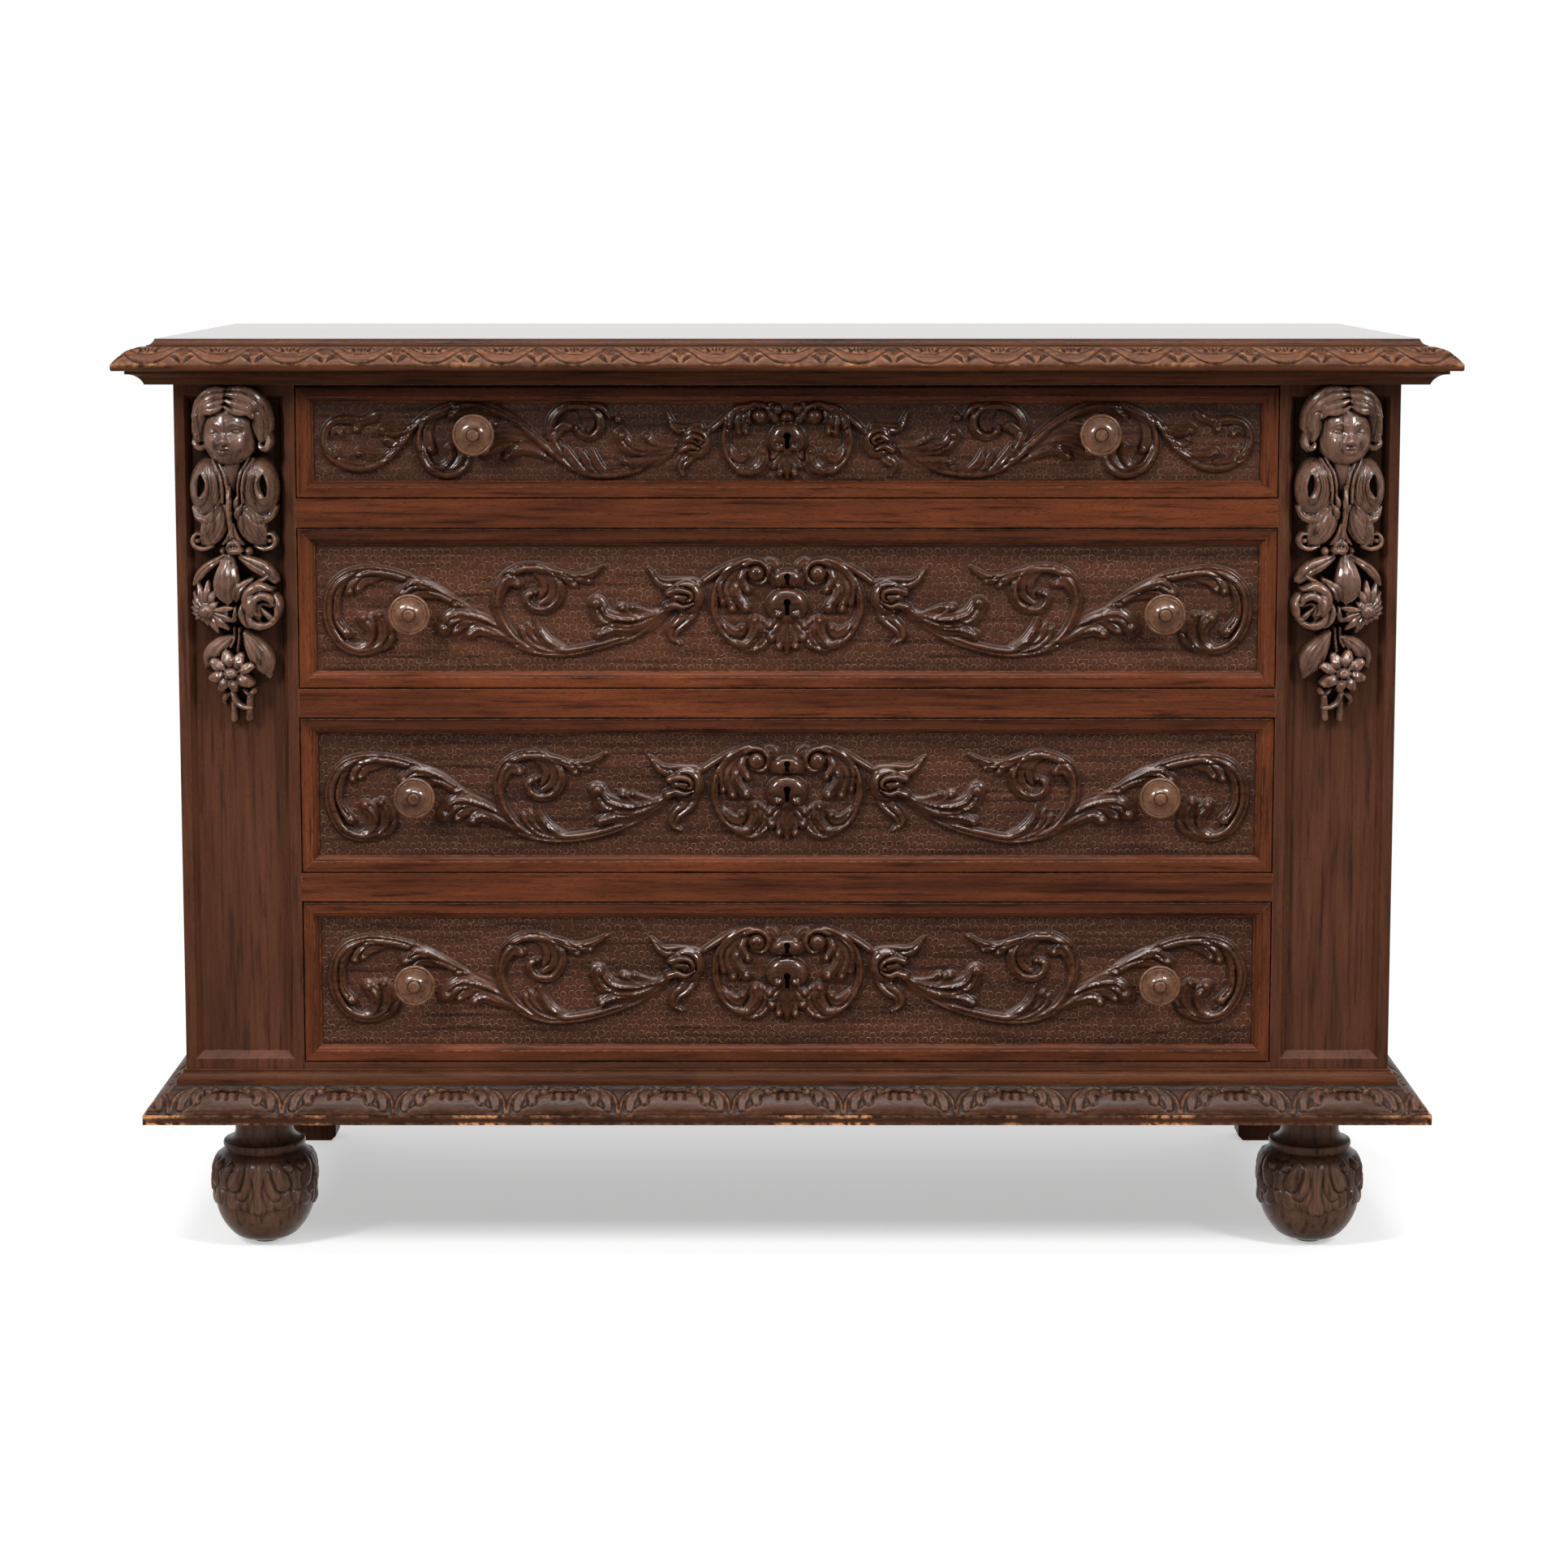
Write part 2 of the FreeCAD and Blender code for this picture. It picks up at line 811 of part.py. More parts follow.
def knob(x, z):
    rim_back = knob_rim_level - knob_rim_thickness / 2
    rim_front = knob_rim_level + knob_rim_thickness / 2
    rim_edge = knob_radius - knob_rim_round
    button_foot = knob_reach - knob_button_height
    neck_level = (knob_base_height + knob_throat_level) / 2
    face_edge = (knob_face_radius, rim_front)
    face_end = (knob_button_radius + knob_button_groove, button_foot)
    steps = [
        (knob_tenon_radius, -knob_tenon_length),
        (knob_tenon_radius, 0.0),
        (knob_base_radius, 0.0),
        (knob_base_radius, knob_base_height),
        ((knob_neck_radius, neck_level), (knob_throat_radius, knob_throat_level)),
        (rim_edge, rim_back),
        ((knob_radius, knob_rim_level), (rim_edge, rim_front)),
        face_edge,
        (swell(face_edge, face_end, -knob_face_bulge), face_end),
        (knob_button_radius, button_foot),
        (knob_button_radius, knob_reach - knob_button_round),
        (knob_button_radius - knob_button_round, knob_reach),
        (0.0, knob_reach),
    ]

    def place(radius, reach):
        return Vec(x + radius, field_front - reach, z)

    profile = face_of((0.0, -knob_tenon_length), steps, place)
    return profile.revolve(Vec(x, 0, z), Vec(0, 1, 0), 360)


def drawer_knobs(number, size):
    return group([knob(x, z) for x, z in knob_places(number, size)])


def bolt_box(size, margin):
    half_bolt = bolt_width / 2 + margin
    middle = board_back + lock_thickness / 2
    near = middle - bolt_thickness / 2 - margin
    far = middle + bolt_thickness / 2 + margin
    low = size["key"] + bolt_above_key
    high = size["high"] - bolt_top_margin
    return half_bolt, near, far, low, high


def drawer_lock(size):
    half_lock = lock_width / 2
    low, high = size["key"] - lock_below_key, size["high"] - lock_top_margin
    case = box(-half_lock, half_lock, board_back, board_back + lock_thickness, low, high)
    half_bolt, near, far, bolt_low, _ = bolt_box(size, bolt_clearance)
    channel = box(-half_bolt, half_bolt, near, far, bolt_low, high)
    key_way = keyhole(size["key"], board_back, board_back + lock_thickness - lock_wall)
    return case.cut([channel, key_way])


def drawer_lock_bolt(size):
    half_bolt, near, far, low, high = bolt_box(size, 0.0)
    return box(-half_bolt, half_bolt, near, far, low, high)


def drawer_parts(number):
    size = drawer_box(number)
    side = drawer_side(size)
    return {
        "front": drawer_front(number, size),
        "frame": drawer_frame(size),
        "left_side": side,
        "right_side": mirrored(side),
        "back": drawer_back(size),
        "bottom": drawer_bottom(size),
        "knobs": drawer_knobs(number, size),
        "lock": drawer_lock(size),
        "lock_bolt": drawer_lock_bolt(size),
    }


def chest():
    post = left_front_post()
    foot = left_front_foot()
    carving = left_carving(post)
    parts = {
        "top_board": top_board(),
        "cornice_moulding": cornice_moulding(),
        "left_front_post": post,
        "right_front_post": mirrored(post),
        "rear_posts": rear_posts(),
        "side_rails": side_rails(),
        "side_panels": side_panels(),
        "back_panel": back_panel(),
        "bottom_board": bottom_board(),
        "drawer_runners": drawer_runners(),
        "drawer_stops": drawer_stops(),
        "plinth_moulding": plinth_moulding(),
        "base_moulding": base_moulding(),
        "foot_blocks": foot_blocks(),
        "left_front_foot": foot,
        "right_front_foot": mirrored(foot),
        "rear_feet": rear_feet(),
        "foot_glides": foot_glides(),
        "left_carving": carving,
        "right_carving": mirrored(carving),
    }
    parts.update(rails())
    for number in openings:
        for name, shape in drawer_parts(number).items():
            parts[f"drawer_{number}_{name}"] = shape
    return parts


os.makedirs("parts", exist_ok=True)
for name, shape in chest().items():
    shape.exportStep(f"parts/{name}.step")
    if not shape.isValid():
        print("not valid:", name)
    print(f"{name}: {len(shape.Solids)} solids, {shape.Volume / 1000:.1f} cm3")
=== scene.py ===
import bmesh
import bpy
import json
import math
import numpy as np
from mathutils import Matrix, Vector


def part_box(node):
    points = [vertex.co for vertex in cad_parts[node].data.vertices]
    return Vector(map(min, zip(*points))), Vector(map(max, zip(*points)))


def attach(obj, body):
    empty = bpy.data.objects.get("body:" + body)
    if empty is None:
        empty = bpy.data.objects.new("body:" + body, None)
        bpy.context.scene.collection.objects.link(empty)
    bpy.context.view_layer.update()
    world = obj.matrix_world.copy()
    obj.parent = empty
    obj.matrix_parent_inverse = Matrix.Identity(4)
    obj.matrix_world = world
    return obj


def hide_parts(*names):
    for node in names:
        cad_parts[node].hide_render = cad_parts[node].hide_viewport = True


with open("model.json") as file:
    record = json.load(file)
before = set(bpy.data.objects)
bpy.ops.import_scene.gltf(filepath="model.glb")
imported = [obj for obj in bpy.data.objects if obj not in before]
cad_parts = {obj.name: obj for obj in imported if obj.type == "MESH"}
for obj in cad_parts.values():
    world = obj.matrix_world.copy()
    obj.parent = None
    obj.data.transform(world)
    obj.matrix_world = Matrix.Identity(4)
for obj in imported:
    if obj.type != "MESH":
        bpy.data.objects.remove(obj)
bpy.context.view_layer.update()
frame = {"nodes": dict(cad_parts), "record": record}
nodes = frame["nodes"]
mm = 0.001    # every size below is in millimetres unless its name says otherwise
print("frame loaded:", len(nodes), "nodes")


# helpers for picking and naming objects
def pick(piece):
    bpy.ops.object.select_all(action="DESELECT")
    piece.select_set(True)
    bpy.context.view_layer.objects.active = piece


def named(name):    # the object that the last operator made
    piece = bpy.context.object
    piece.name = name
    piece.data.name = name
    return piece


def dress(piece, material):
    piece.data.materials.clear()
    piece.data.materials.append(material)
    for face in piece.data.polygons:
        face.material_index = 0


# walnut, in the tones that the chest shows: dark in the pores, warm on the rails, worn pale along edges
finishes = {
    "walnut_top": {
        "dark": (0.020, 0.008, 0.0042), "light": (0.095, 0.034, 0.0135), "worn": (0.34, 0.155, 0.062),
        "rough": (0.42, 0.58), "coat": 1.0, "film": 0.07, "wear": 0.35, "shine": 0.05},
    "walnut_carcase": {
        "dark": (0.030, 0.0108, 0.0056), "light": (0.086, 0.0295, 0.0142), "worn": (0.24, 0.098, 0.04),
        "rough": (0.38, 0.52), "coat": 0.03, "wear": 0.75, "shine": 0.1},
    "walnut_rail": {
        "dark": (0.020, 0.0056, 0.0023), "light": (0.122, 0.0305, 0.0092), "worn": (0.34, 0.13, 0.05),
        "rough": (0.36, 0.50), "coat": 0.03, "wear": 0.75, "shine": 0.12},
    "walnut_moulding": {
        "dark": (0.018, 0.0062, 0.0031), "light": (0.086, 0.0275, 0.0105), "worn": (0.26, 0.105, 0.042),
        "rough": (0.34, 0.48), "coat": 0.03, "wear": 0.65, "shine": 0.06},
    "walnut_drawer": {
        "dark": (0.016, 0.0054, 0.0025), "light": (0.080, 0.0240, 0.0088), "worn": (0.20, 0.078, 0.030),
        "rough": (0.32, 0.46), "coat": 0.05, "wear": 0.3, "shine": 0.3},
    "walnut_carved": {
        "dark": (0.014, 0.0054, 0.0030), "light": (0.072, 0.026, 0.0122), "worn": (0.24, 0.092, 0.036),
        "rough": (0.13, 0.24), "coat": 0.42, "wear": 0.45, "shine": 0.4},
    "walnut_base": {
        "dark": (0.017, 0.0066, 0.0036), "light": (0.058, 0.0202, 0.0092), "worn": (0.44, 0.20, 0.085),
        "rough": (0.30, 0.44), "coat": 0.04, "wear": 0.55, "shine": 0.16},
    # pale rings: a painted highlight of their edges, with rubbed wood
    "walnut_ring_worn_and_highlight": {
        "dark": (0.085, 0.044, 0.027), "light": (0.225, 0.132, 0.085), "worn": (0.36, 0.20, 0.11),
        "rough": (0.30, 0.42), "coat": 0.1, "wear": 0.5, "shine": 0.3},
    "walnut_edge": {
        "dark": (0.019, 0.0062, 0.0026), "light": (0.112, 0.0350, 0.0112), "worn": (0.44, 0.20, 0.085),
        "rough": (0.32, 0.46), "coat": 0.0, "wear": 0.36, "shine": 0.12},
    "walnut_figure": {
        "dark": (0.026, 0.0132, 0.0088), "light": (0.158, 0.085, 0.059), "worn": (0.28, 0.125, 0.06),
        "rough": (0.12, 0.22), "coat": 0.4, "wear": 0.4, "shine": 0.5},
    "walnut_foot": {
        "dark": (0.034, 0.0165, 0.0100), "light": (0.136, 0.066, 0.038), "worn": (0.26, 0.115, 0.05),
        "rough": (0.26, 0.38), "coat": 0.15, "wear": 0.4, "shine": 0.35},
    "walnut_knob": {
        "dark": (0.050, 0.022, 0.012), "light": (0.155, 0.069, 0.036), "worn": (0.38, 0.17, 0.07),
        "rough": (0.14, 0.24), "coat": 0.55, "wear": 0.5, "shine": 0.5},
    "drawer_lining": {
        "dark": (0.16, 0.085, 0.042), "light": (0.36, 0.22, 0.125), "worn": (0.46, 0.31, 0.19),
        "rough": (0.55, 0.72), "coat": 0.0, "wear": 0.25, "shine": 0.3},
    "inner_wood": {
        "dark": (0.075, 0.038, 0.019), "light": (0.20, 0.11, 0.058), "worn": (0.28, 0.17, 0.09),
        "rough": (0.55, 0.75), "coat": 0.0, "wear": 0.25, "shine": 0.3},
}


def newMaterial(name):
    material = bpy.data.materials.new(name)
    material.use_nodes = True
    tree = material.node_tree
    return material, tree, tree.nodes["Principled BSDF"]


def addNode(tree, kind, inputs=None, **settings):    # a plain value is set, a socket is linked
    made = tree.nodes.new("ShaderNode" + kind)
    for key, value in settings.items():
        setattr(made, key, value)
    for key, value in (inputs or {}).items():
        if isinstance(value, bpy.types.NodeSocket):
            tree.links.new(value, made.inputs[key])
        else:
            made.inputs[key].default_value = value
    return made


def mixColour(tree, share, first, second):
    first, second = ((*tone, 1.0) if isinstance(tone, tuple) else tone for tone in (first, second))
    return addNode(tree, "Mix", {0: share, 6: first, 7: second}, data_type="RGBA").outputs[2]


def spread(tree, value, low, high, first=0.0, second=1.0):    # low..high to first..second, clamped
    made = addNode(tree, "MapRange", {"Value": value, "From Min": low, "From Max": high,
                                      "To Min": first, "To Max": second})
    return made.outputs["Result"]


def sums(tree, first, second, operation="ADD"):
    return addNode(tree, "Math", {0: first, 1: second}, operation=operation).outputs[0]


def times(tree, first, second):
    return sums(tree, first, second, "MULTIPLY")


def objectPlace(tree):
    return addNode(tree, "TexCoord").outputs["Object"]


def axesOf(tree, vector):
    return addNode(tree, "SeparateXYZ", {0: vector}).outputs


def noise(tree, place, scale, detail, **more):
    return addNode(tree, "TexNoise", {"Vector": place, "Scale": scale, "Detail": detail, **more}).outputs[0]


def reading(tree, name):    # a number that is marked on the points of a piece
    return addNode(tree, "Attribute", attribute_name=name).outputs["Fac"]


def darker(tones, share):
    return tuple(share * part for part in tones["dark"])


def drawnOut(share):    # scales that stretch a texture along one axis
    return {"x": (share, 1, 1), "y": (1, share, 1), "z": (1, 1, share)}


grainScale, poreScale = drawnOut(0.055), drawnOut(0.13)
wood = {    # noise in features to the metre, the rest in metres
    "broad": 24.0, "streak": 190.0, "pore": 1300.0, "cloud": 7.0, "speckle": 140.0,
    "arris": 0.001, "corner": 0.012, "bump": 0.0004, "film": 0.14,
}


def stretched(tree, place, scale):
    return addNode(tree, "Mapping", {"Vector": place, "Scale": scale}).outputs["Vector"]


def mitredGrain(tree, scales, low, high):    # grain that turns at the mitres of a frame seen from the front
    place = objectPlace(tree)
    axes = axesOf(tree, place)
    fromSide = sums(tree, high[0], sums(tree, axes[0], 0.0, "ABSOLUTE"), "SUBTRACT")
    middle, half = (low[2] + high[2]) / 2, (high[2] - low[2]) / 2
    level = sums(tree, sums(tree, axes[2], middle, "SUBTRACT"), 0.0, "ABSOLUTE")
    upright = sums(tree, fromSide, sums(tree, half, level, "SUBTRACT"), "LESS_THAN")
    lying, standing = (stretched(tree, place, scales[grain]) for grain in ("x", "z"))
    return addNode(tree, "Mix", {0: upright, 4: lying, 5: standing}, data_type="VECTOR").outputs[1]


def boardJoints(tree, colour, tones, width):    # upright boards, each a little different, with open joints
    count = sums(tree, axesOf(tree, objectPlace(tree))[0], width, "DIVIDE")
    odd = addNode(tree, "TexWhiteNoise", {"W": sums(tree, count, 0.0, "FLOOR")}, noise_dimensions="1D")
    colour = mixColour(tree, times(tree, odd.outputs["Value"], 0.55), colour, tones["dark"])
    off = sums(tree, sums(tree, sums(tree, count, 0.0, "FRACT"), 0.5, "SUBTRACT"), 0.0, "ABSOLUTE")
    return mixColour(tree, spread(tree, off, 0.490, 0.495), colour, darker(tones, 0.15))


def paintShadeBands(tree, colour, tones, layers):    # painted shade on what faces the front, such as under a rail or beside a figure
    axes = axesOf(tree, objectPlace(tree))
    facing = axesOf(tree, addNode(tree, "NewGeometry").outputs["Normal"])[1]
    for layer in layers:    # darker further along each of its axes
        thick = spread(tree, facing, -0.2, -0.6, 0.0, 0.85)
        for axis, first, last in layer:
            thick = times(tree, spread(tree, axes[axis], first, last), thick)
        colour = mixColour(tree, thick, colour, darker(tones, 0.3))
    return colour


def walnut(name, finish, grain="x", mitre=None, carved=False, ornament=None, boards=None, shadeBands=()):
    tones = finishes[finish]
    material, tree, shader = newMaterial(name)
    place = objectPlace(tree)
    if mitre:
        long, short = (mitredGrain(tree, scales, *mitre) for scales in (grainScale, poreScale))
    else:
        long, short = (stretched(tree, place, scales[grain]) for scales in (grainScale, poreScale))
    broad = noise(tree, long, wood["broad"], 4.0, Distortion=0.8)
    streak = noise(tree, long, wood["streak"], 5.0, Roughness=0.62)
    pore = noise(tree, short, wood["pore"], 2.0)
    cloud = noise(tree, place, wood["cloud"], 3.0)
    speckle = noise(tree, place, wood["speckle"], 4.0)
    share = spread(tree, sums(tree, times(tree, broad, 0.5), times(tree, streak, 0.5)), 0.30, 0.62)
    colour = mixColour(tree, share, tones["dark"], tones["light"])
    if ornament:    # what stands over the ground has its own tone
        over, stands = finishes[ornament], reading(tree, "relief")
        colour = mixColour(tree, stands, colour, mixColour(tree, share, over["dark"], over["light"]))
    for veil in (spread(tree, streak, 0.45, 0.30), spread(tree, pore, 0.42, 0.30, 0.0, 0.75),
                 spread(tree, cloud, 0.35, 0.7, 0.0, 0.3)):
        colour = mixColour(tree, veil, colour, tones["dark"])
    if boards:
        colour = boardJoints(tree, colour, tones, boards)
    if shadeBands:
        colour = paintShadeBands(tree, colour, tones, shadeBands)
    if carved:    # dense carving: crests are rubbed; what lies under what is round it is darkened, painted shade in hollows and recesses, with old wax
        colour = mixColour(tree, times(tree, reading(tree, "hollow"), 0.9), colour, darker(tones, 0.3))
        edges = reading(tree, "crest")
    else:    # joiner's work: a mask along arrises, where the rounded normal leaves the flat one
        rounded = addNode(tree, "Bevel", {"Radius": wood["arris"]}, samples=4).outputs["Normal"]
        flat = addNode(tree, "NewGeometry").outputs["Normal"]
        agree = addNode(tree, "VectorMath", {0: rounded, 1: flat}, operation="DOT_PRODUCT").outputs["Value"]
        edges = spread(tree, agree, 0.995, 0.86)
        # painted shade: the colour darkens where ambient occlusion finds a corner
        corner = addNode(tree, "AmbientOcclusion", {"Distance": wood["corner"]}, samples=4, only_local=True)
        colour = mixColour(tree, spread(tree, corner.outputs["AO"], 0.85, 0.35, 0.0, 0.6), colour,
                           tones["dark"])
    worn = times(tree, times(tree, edges, spread(tree, speckle, 0.40, 0.66)), tones["wear"])
    tree.links.new(mixColour(tree, worn, colour, tones["worn"]), shader.inputs["Base Color"])
    sheen = sums(tree, streak, speckle)
    rough = spread(tree, sheen, 0.7, 1.3, *tones["rough"])
    for socket, value in (("Coat Weight", tones["coat"]), ("Coat Roughness", tones.get("film", wood["film"])),
                          ("Specular IOR Level", tones["shine"])):
        shader.inputs[socket].default_value = value
    if ornament:    # the carving is polished more than its ground
        polish = spread(tree, sheen, 0.7, 1.3, *over["rough"])
        ground = sums(tree, 1.0, stands, "SUBTRACT")
        rough = sums(tree, times(tree, polish, stands), times(tree, rough, ground))
        coat = spread(tree, stands, 0.0, 1.0, tones["coat"], over["coat"])
        tree.links.new(coat, shader.inputs["Coat Weight"])
    tree.links.new(rough, shader.inputs["Roughness"])
    relief = sums(tree, times(tree, streak, 0.5), spread(tree, pore, 0.30, 0.45))
    bump = addNode(tree, "Bump", {"Height": relief, "Strength": 0.35, "Distance": wood["bump"]})
    if not carved:
        tree.links.new(rounded, bump.inputs["Normal"])
    tree.links.new(bump.outputs["Normal"], shader.inputs["Normal"])
    return material


def ironFinish():
    material, tree, shader = newMaterial("forged iron")
    place = objectPlace(tree)
    blotch, rust = noise(tree, place, 160.0, 5.0), noise(tree, place, 45.0, 4.0)
    colour = mixColour(tree, blotch, (0.020, 0.018, 0.017), (0.075, 0.068, 0.062))
    colour = mixColour(tree, spread(tree, rust, 0.56, 0.70, 0.0, 0.7), colour, (0.12, 0.045, 0.018))
    tree.links.new(colour, shader.inputs["Base Color"])
    tree.links.new(spread(tree, blotch, 0.3, 0.7, 0.38, 0.62), shader.inputs["Roughness"])
    bump = addNode(tree, "Bump", {"Height": blotch, "Strength": 0.3, "Distance": 0.0003})
    tree.links.new(bump.outputs["Normal"], shader.inputs["Normal"])
    shader.inputs["Metallic"].default_value = 0.85
    return material


def glideFinish():
    material, tree, shader = newMaterial("white glide")
    scuff = noise(tree, objectPlace(tree), 260.0, 4.0)
    colour = mixColour(tree, spread(tree, scuff, 0.5, 0.75), (0.80, 0.78, 0.72), (0.52, 0.49, 0.43))
    tree.links.new(colour, shader.inputs["Base Color"])
    tree.links.new(spread(tree, scuff, 0.3, 0.7, 0.4, 0.6), shader.inputs["Roughness"])
    return material


# every CAD node in its finish, with the grain the way the board runs
uprightGrain = ("left_front_post", "right_front_post", "rear_posts", "side_panels", "left_front_foot",
                "right_front_foot", "rear_feet", "left_carving", "right_carving")
depthGrain = ("side_rails", "drawer_runners", "left_side", "right_side")
boardWidth = 0.151    # of the back, in metres
paintedShade = {    # painted shade on frames and posts: where it lies, in metres
    "frameFade": 0.022, "frameLine": (0.0034, 0.0012), "postSunk": (0.002, 0.006), "postLevel": (0.60, 0.86),
}
dressed = {}


def finishFor(node, slot):
    if node == "bottom_board":    # its front edge shows under the lowest drawer
        slot = "walnut_carcase"
    if slot == "lock_iron":
        key, maker = (slot,), ironFinish
    elif slot == "glide_plastic":
        key, maker = (slot,), glideFinish
    elif node.endswith("_frame"):    # painted shade towards the rail above, and a painted shadow line just under it
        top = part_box(node)[1].z
        fade, (deep, thin) = paintedShade["frameFade"], paintedShade["frameLine"]
        layers = (((2, top - fade, top + fade),), ((2, top - deep, top - thin),))
        key, maker = (node,), lambda: walnut(node, slot, mitre=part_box(node), shadeBands=layers)
    elif node.endswith("_front_post"):    # painted shade in the sunk panel, round the figure
        sunk = [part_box(node)[0].y + depth for depth in paintedShade["postSunk"]]
        layers = (((1, *sunk), (2, *paintedShade["postLevel"])),)
        key, maker = ("posts",), lambda: walnut("walnut posts", slot, "z", shadeBands=layers)
    elif node == "back_panel":
        key, maker = (node,), lambda: walnut(node, slot, "z", boards=boardWidth)
    else:
        grain = "z" if node in uprightGrain else "y" if node.endswith(depthGrain) else "x"
        key, maker = (slot, grain), lambda: walnut(f"{slot} along {grain}", slot, grain)
    if key not in dressed:
        dressed[key] = maker()
    return dressed[key]


for part in frame["record"]["subparts"]:
    dress(nodes[part["node"]], finishFor(part["node"], part["material_slot"]))
print("finishes on", len(nodes), "nodes")


# carving tools: a height field in millimetres, cut by strokes as a carver's gouge would leave them
thinnest = 0.3    # half width of the finest cut


def eased(share, stops):    # a value at each share of the way through the stops
    return np.interp(share, np.linspace(0, 1, len(stops)), stops)


def softLine(points, widths, step=1.0):    # smooth line through the points, with the half width at each step
    spots = np.array(points, float)
    knots = np.column_stack([spots, eased(np.linspace(0, 1, len(spots)), widths)])
    knots = np.vstack([2 * knots[:1] - knots[1:2], knots, 2 * knots[-1:] - knots[-2:-1]])
    spans = []
    for before, start, end, after in zip(knots, knots[1:], knots[2:], knots[3:]):
        count = max(2, int(np.hypot(*(end - start)[:2]) / step))
        t = np.linspace(0, 1, count, endpoint=False)[:, None]
        spans.append(start + 0.5 * t * (end - before + t * (2 * before - 5 * start + 4 * end - after
                                                            + t * (3 * (start - end) + after - before))))
    line = np.vstack(spans + [knots[-2:-1]])
    return line[:, :2], np.maximum(line[:, 2], thinnest)


def blankField(width, height, pitch, lift=0.0):    # lift: how far the ornament's middle is above the field's
    across = np.linspace(-width / 2, width / 2, 2 * int(round(width / 2 / pitch)) + 1)
    up = np.linspace(-height / 2, height / 2, int(round(height / pitch)) + 1) - lift
    return {"across": across, "up": up, "height": np.zeros((len(up), len(across)))}


def beside(field, line, half, spare):    # the part of a field round a line, and where its points lie
    reach = half.max() * spare + 1
    left, right = np.searchsorted(field["across"], [line[:, 0].min() - reach, line[:, 0].max() + reach])
    low, high = np.searchsorted(field["up"], [line[:, 1].min() - reach, line[:, 1].max() + reach])
    x, z = np.meshgrid(field["across"][left:right], field["up"][low:high])
    away = np.hypot(x[..., None] - line[:, 0], z[..., None] - line[:, 1])
    near = (away / half).argmin(-1)
    edge = np.take_along_axis(away, near[..., None], -1)[..., 0] / half[near]    # 0 on it, 1 at its edge
    heading = np.gradient(line, axis=0)[near]
    side = np.sign(heading[..., 0] * (z - line[near, 1]) - heading[..., 1] * (x - line[near, 0]))
    part = slice(low, high), slice(left, right)
    return part, edge, edge * side, near / (len(line) - 1)    # the last runs from 0 to 1 along the line


def fluted(aside, count):    # hollows side by side across a stroke
    return np.abs(np.sin(math.pi * count * (aside + 1) / 2)) ** 0.8


def veined(aside, wide):    # one narrow hollow along a stroke
    return np.exp(-(aside / wide) ** 2)


def bossed(edge, crown):    # 1 in the middle of a form, rounded down to 0 at its edge
    return np.sqrt(np.clip(1 - edge ** crown, 0, 1))


def trench(edge, wide, fall=0.7):    # deepest just at the edge of a form
    return np.clip(1 - np.abs(edge - 1) / wide, 0, 1) ** fall


def carve(field, points, widths, height, flutes=0, groove=None, rise=(0.8, 1.0, 0.75), gap=0.55,
          vein=0.48, root=0.1, crown=2.6):
    part, edge, aside, along = beside(field, *softLine(points, widths), 1.5)
    if min(edge.shape) < 2:
        return
    body = bossed(edge, crown)
    if flutes:
        body = body * (1 - vein * fluted(aside, flutes))
    if groove is not None:
        body = body * (1 - vein * veined(aside - groove, 0.2))
    body = height * eased(along, rise) * body
    patch, inside = field["height"][part], edge < 1
    patch *= 1 - gap * trench(edge, 0.4) * np.clip((along - root) / 0.3, 0, 1)
    patch[inside] = np.maximum(patch[inside], body[inside])


def dome(field, centre, radii, height, crown=3.0, gap=0.5):
    x, z = np.meshgrid(field["across"], field["up"])
    edge = np.hypot((x - centre[0]) / radii[0], (z - centre[1]) / radii[1])
    relief = field["height"]
    relief *= 1 - gap * trench(edge, 0.3)
    inside = edge < 1
    relief[inside] = np.maximum(relief, height * bossed(edge, crown))[inside]


def softened(height):    # one light pass over every cut
    wide = np.pad(height, 1, mode="edge")
    wide = (wide[:-2] + 2 * wide[1:-1] + wide[2:]) / 4
    return (wide[:, :-2] + 2 * wide[:, 1:-1] + wide[:, 2:]) / 4


def shaded(field, reach, depth):    # how far each point lies under or over what is round it, for the finish: painted shade on what lies under, wear on what stands over
    height = field["height"]
    around = height
    for _ in range(int(round(2 * (reach / (field["across"][1] - field["across"][0])) ** 2))):
        around = softened(around)
    field["hollow"] = np.clip((around - height) / depth, 0, 1)
    field["crest"] = np.clip((height - around) / depth, 0, 1)


wobble = {"true": 25.0, "fade": 60.0, "size": 0.45}    # the middle of a field stays true to its drawing


def carver(field, unit, middle, hand):    # tools that take points of an enlarged drawing
    def spots(points):
        read = np.array([((x - middle[0]) * unit, (middle[1] - y) * unit) for x, y in points])
        loose = np.clip((np.abs(read[:, :1]) - wobble["true"]) / wobble["fade"], 0, 1)
        return read + loose * hand.normal(0, wobble["size"], read.shape)

    def stroke(points, widths, height, **how):
        carve(field, spots(points), [width * unit for width in widths], height, **how)

    def bead(spot, radius, height, flat=1.0, **how):
        dome(field, spots([spot])[0], (radius * unit, radius * flat * unit), height, **how)

    def lobe(points, width, height, flutes=1, tip=0.85, curl=True, **how):
        stroke(points, [width * share for share in (0.35, 0.9, 1.0, tip)], height, flutes=flutes, vein=0.5,
               rise=(0.45, 0.8, 1.0, 0.95), **how)
        if curl:
            bead(points[-1], width * tip * 0.72, height, gap=0.1, crown=2.2)

    return stroke, lobe, bead


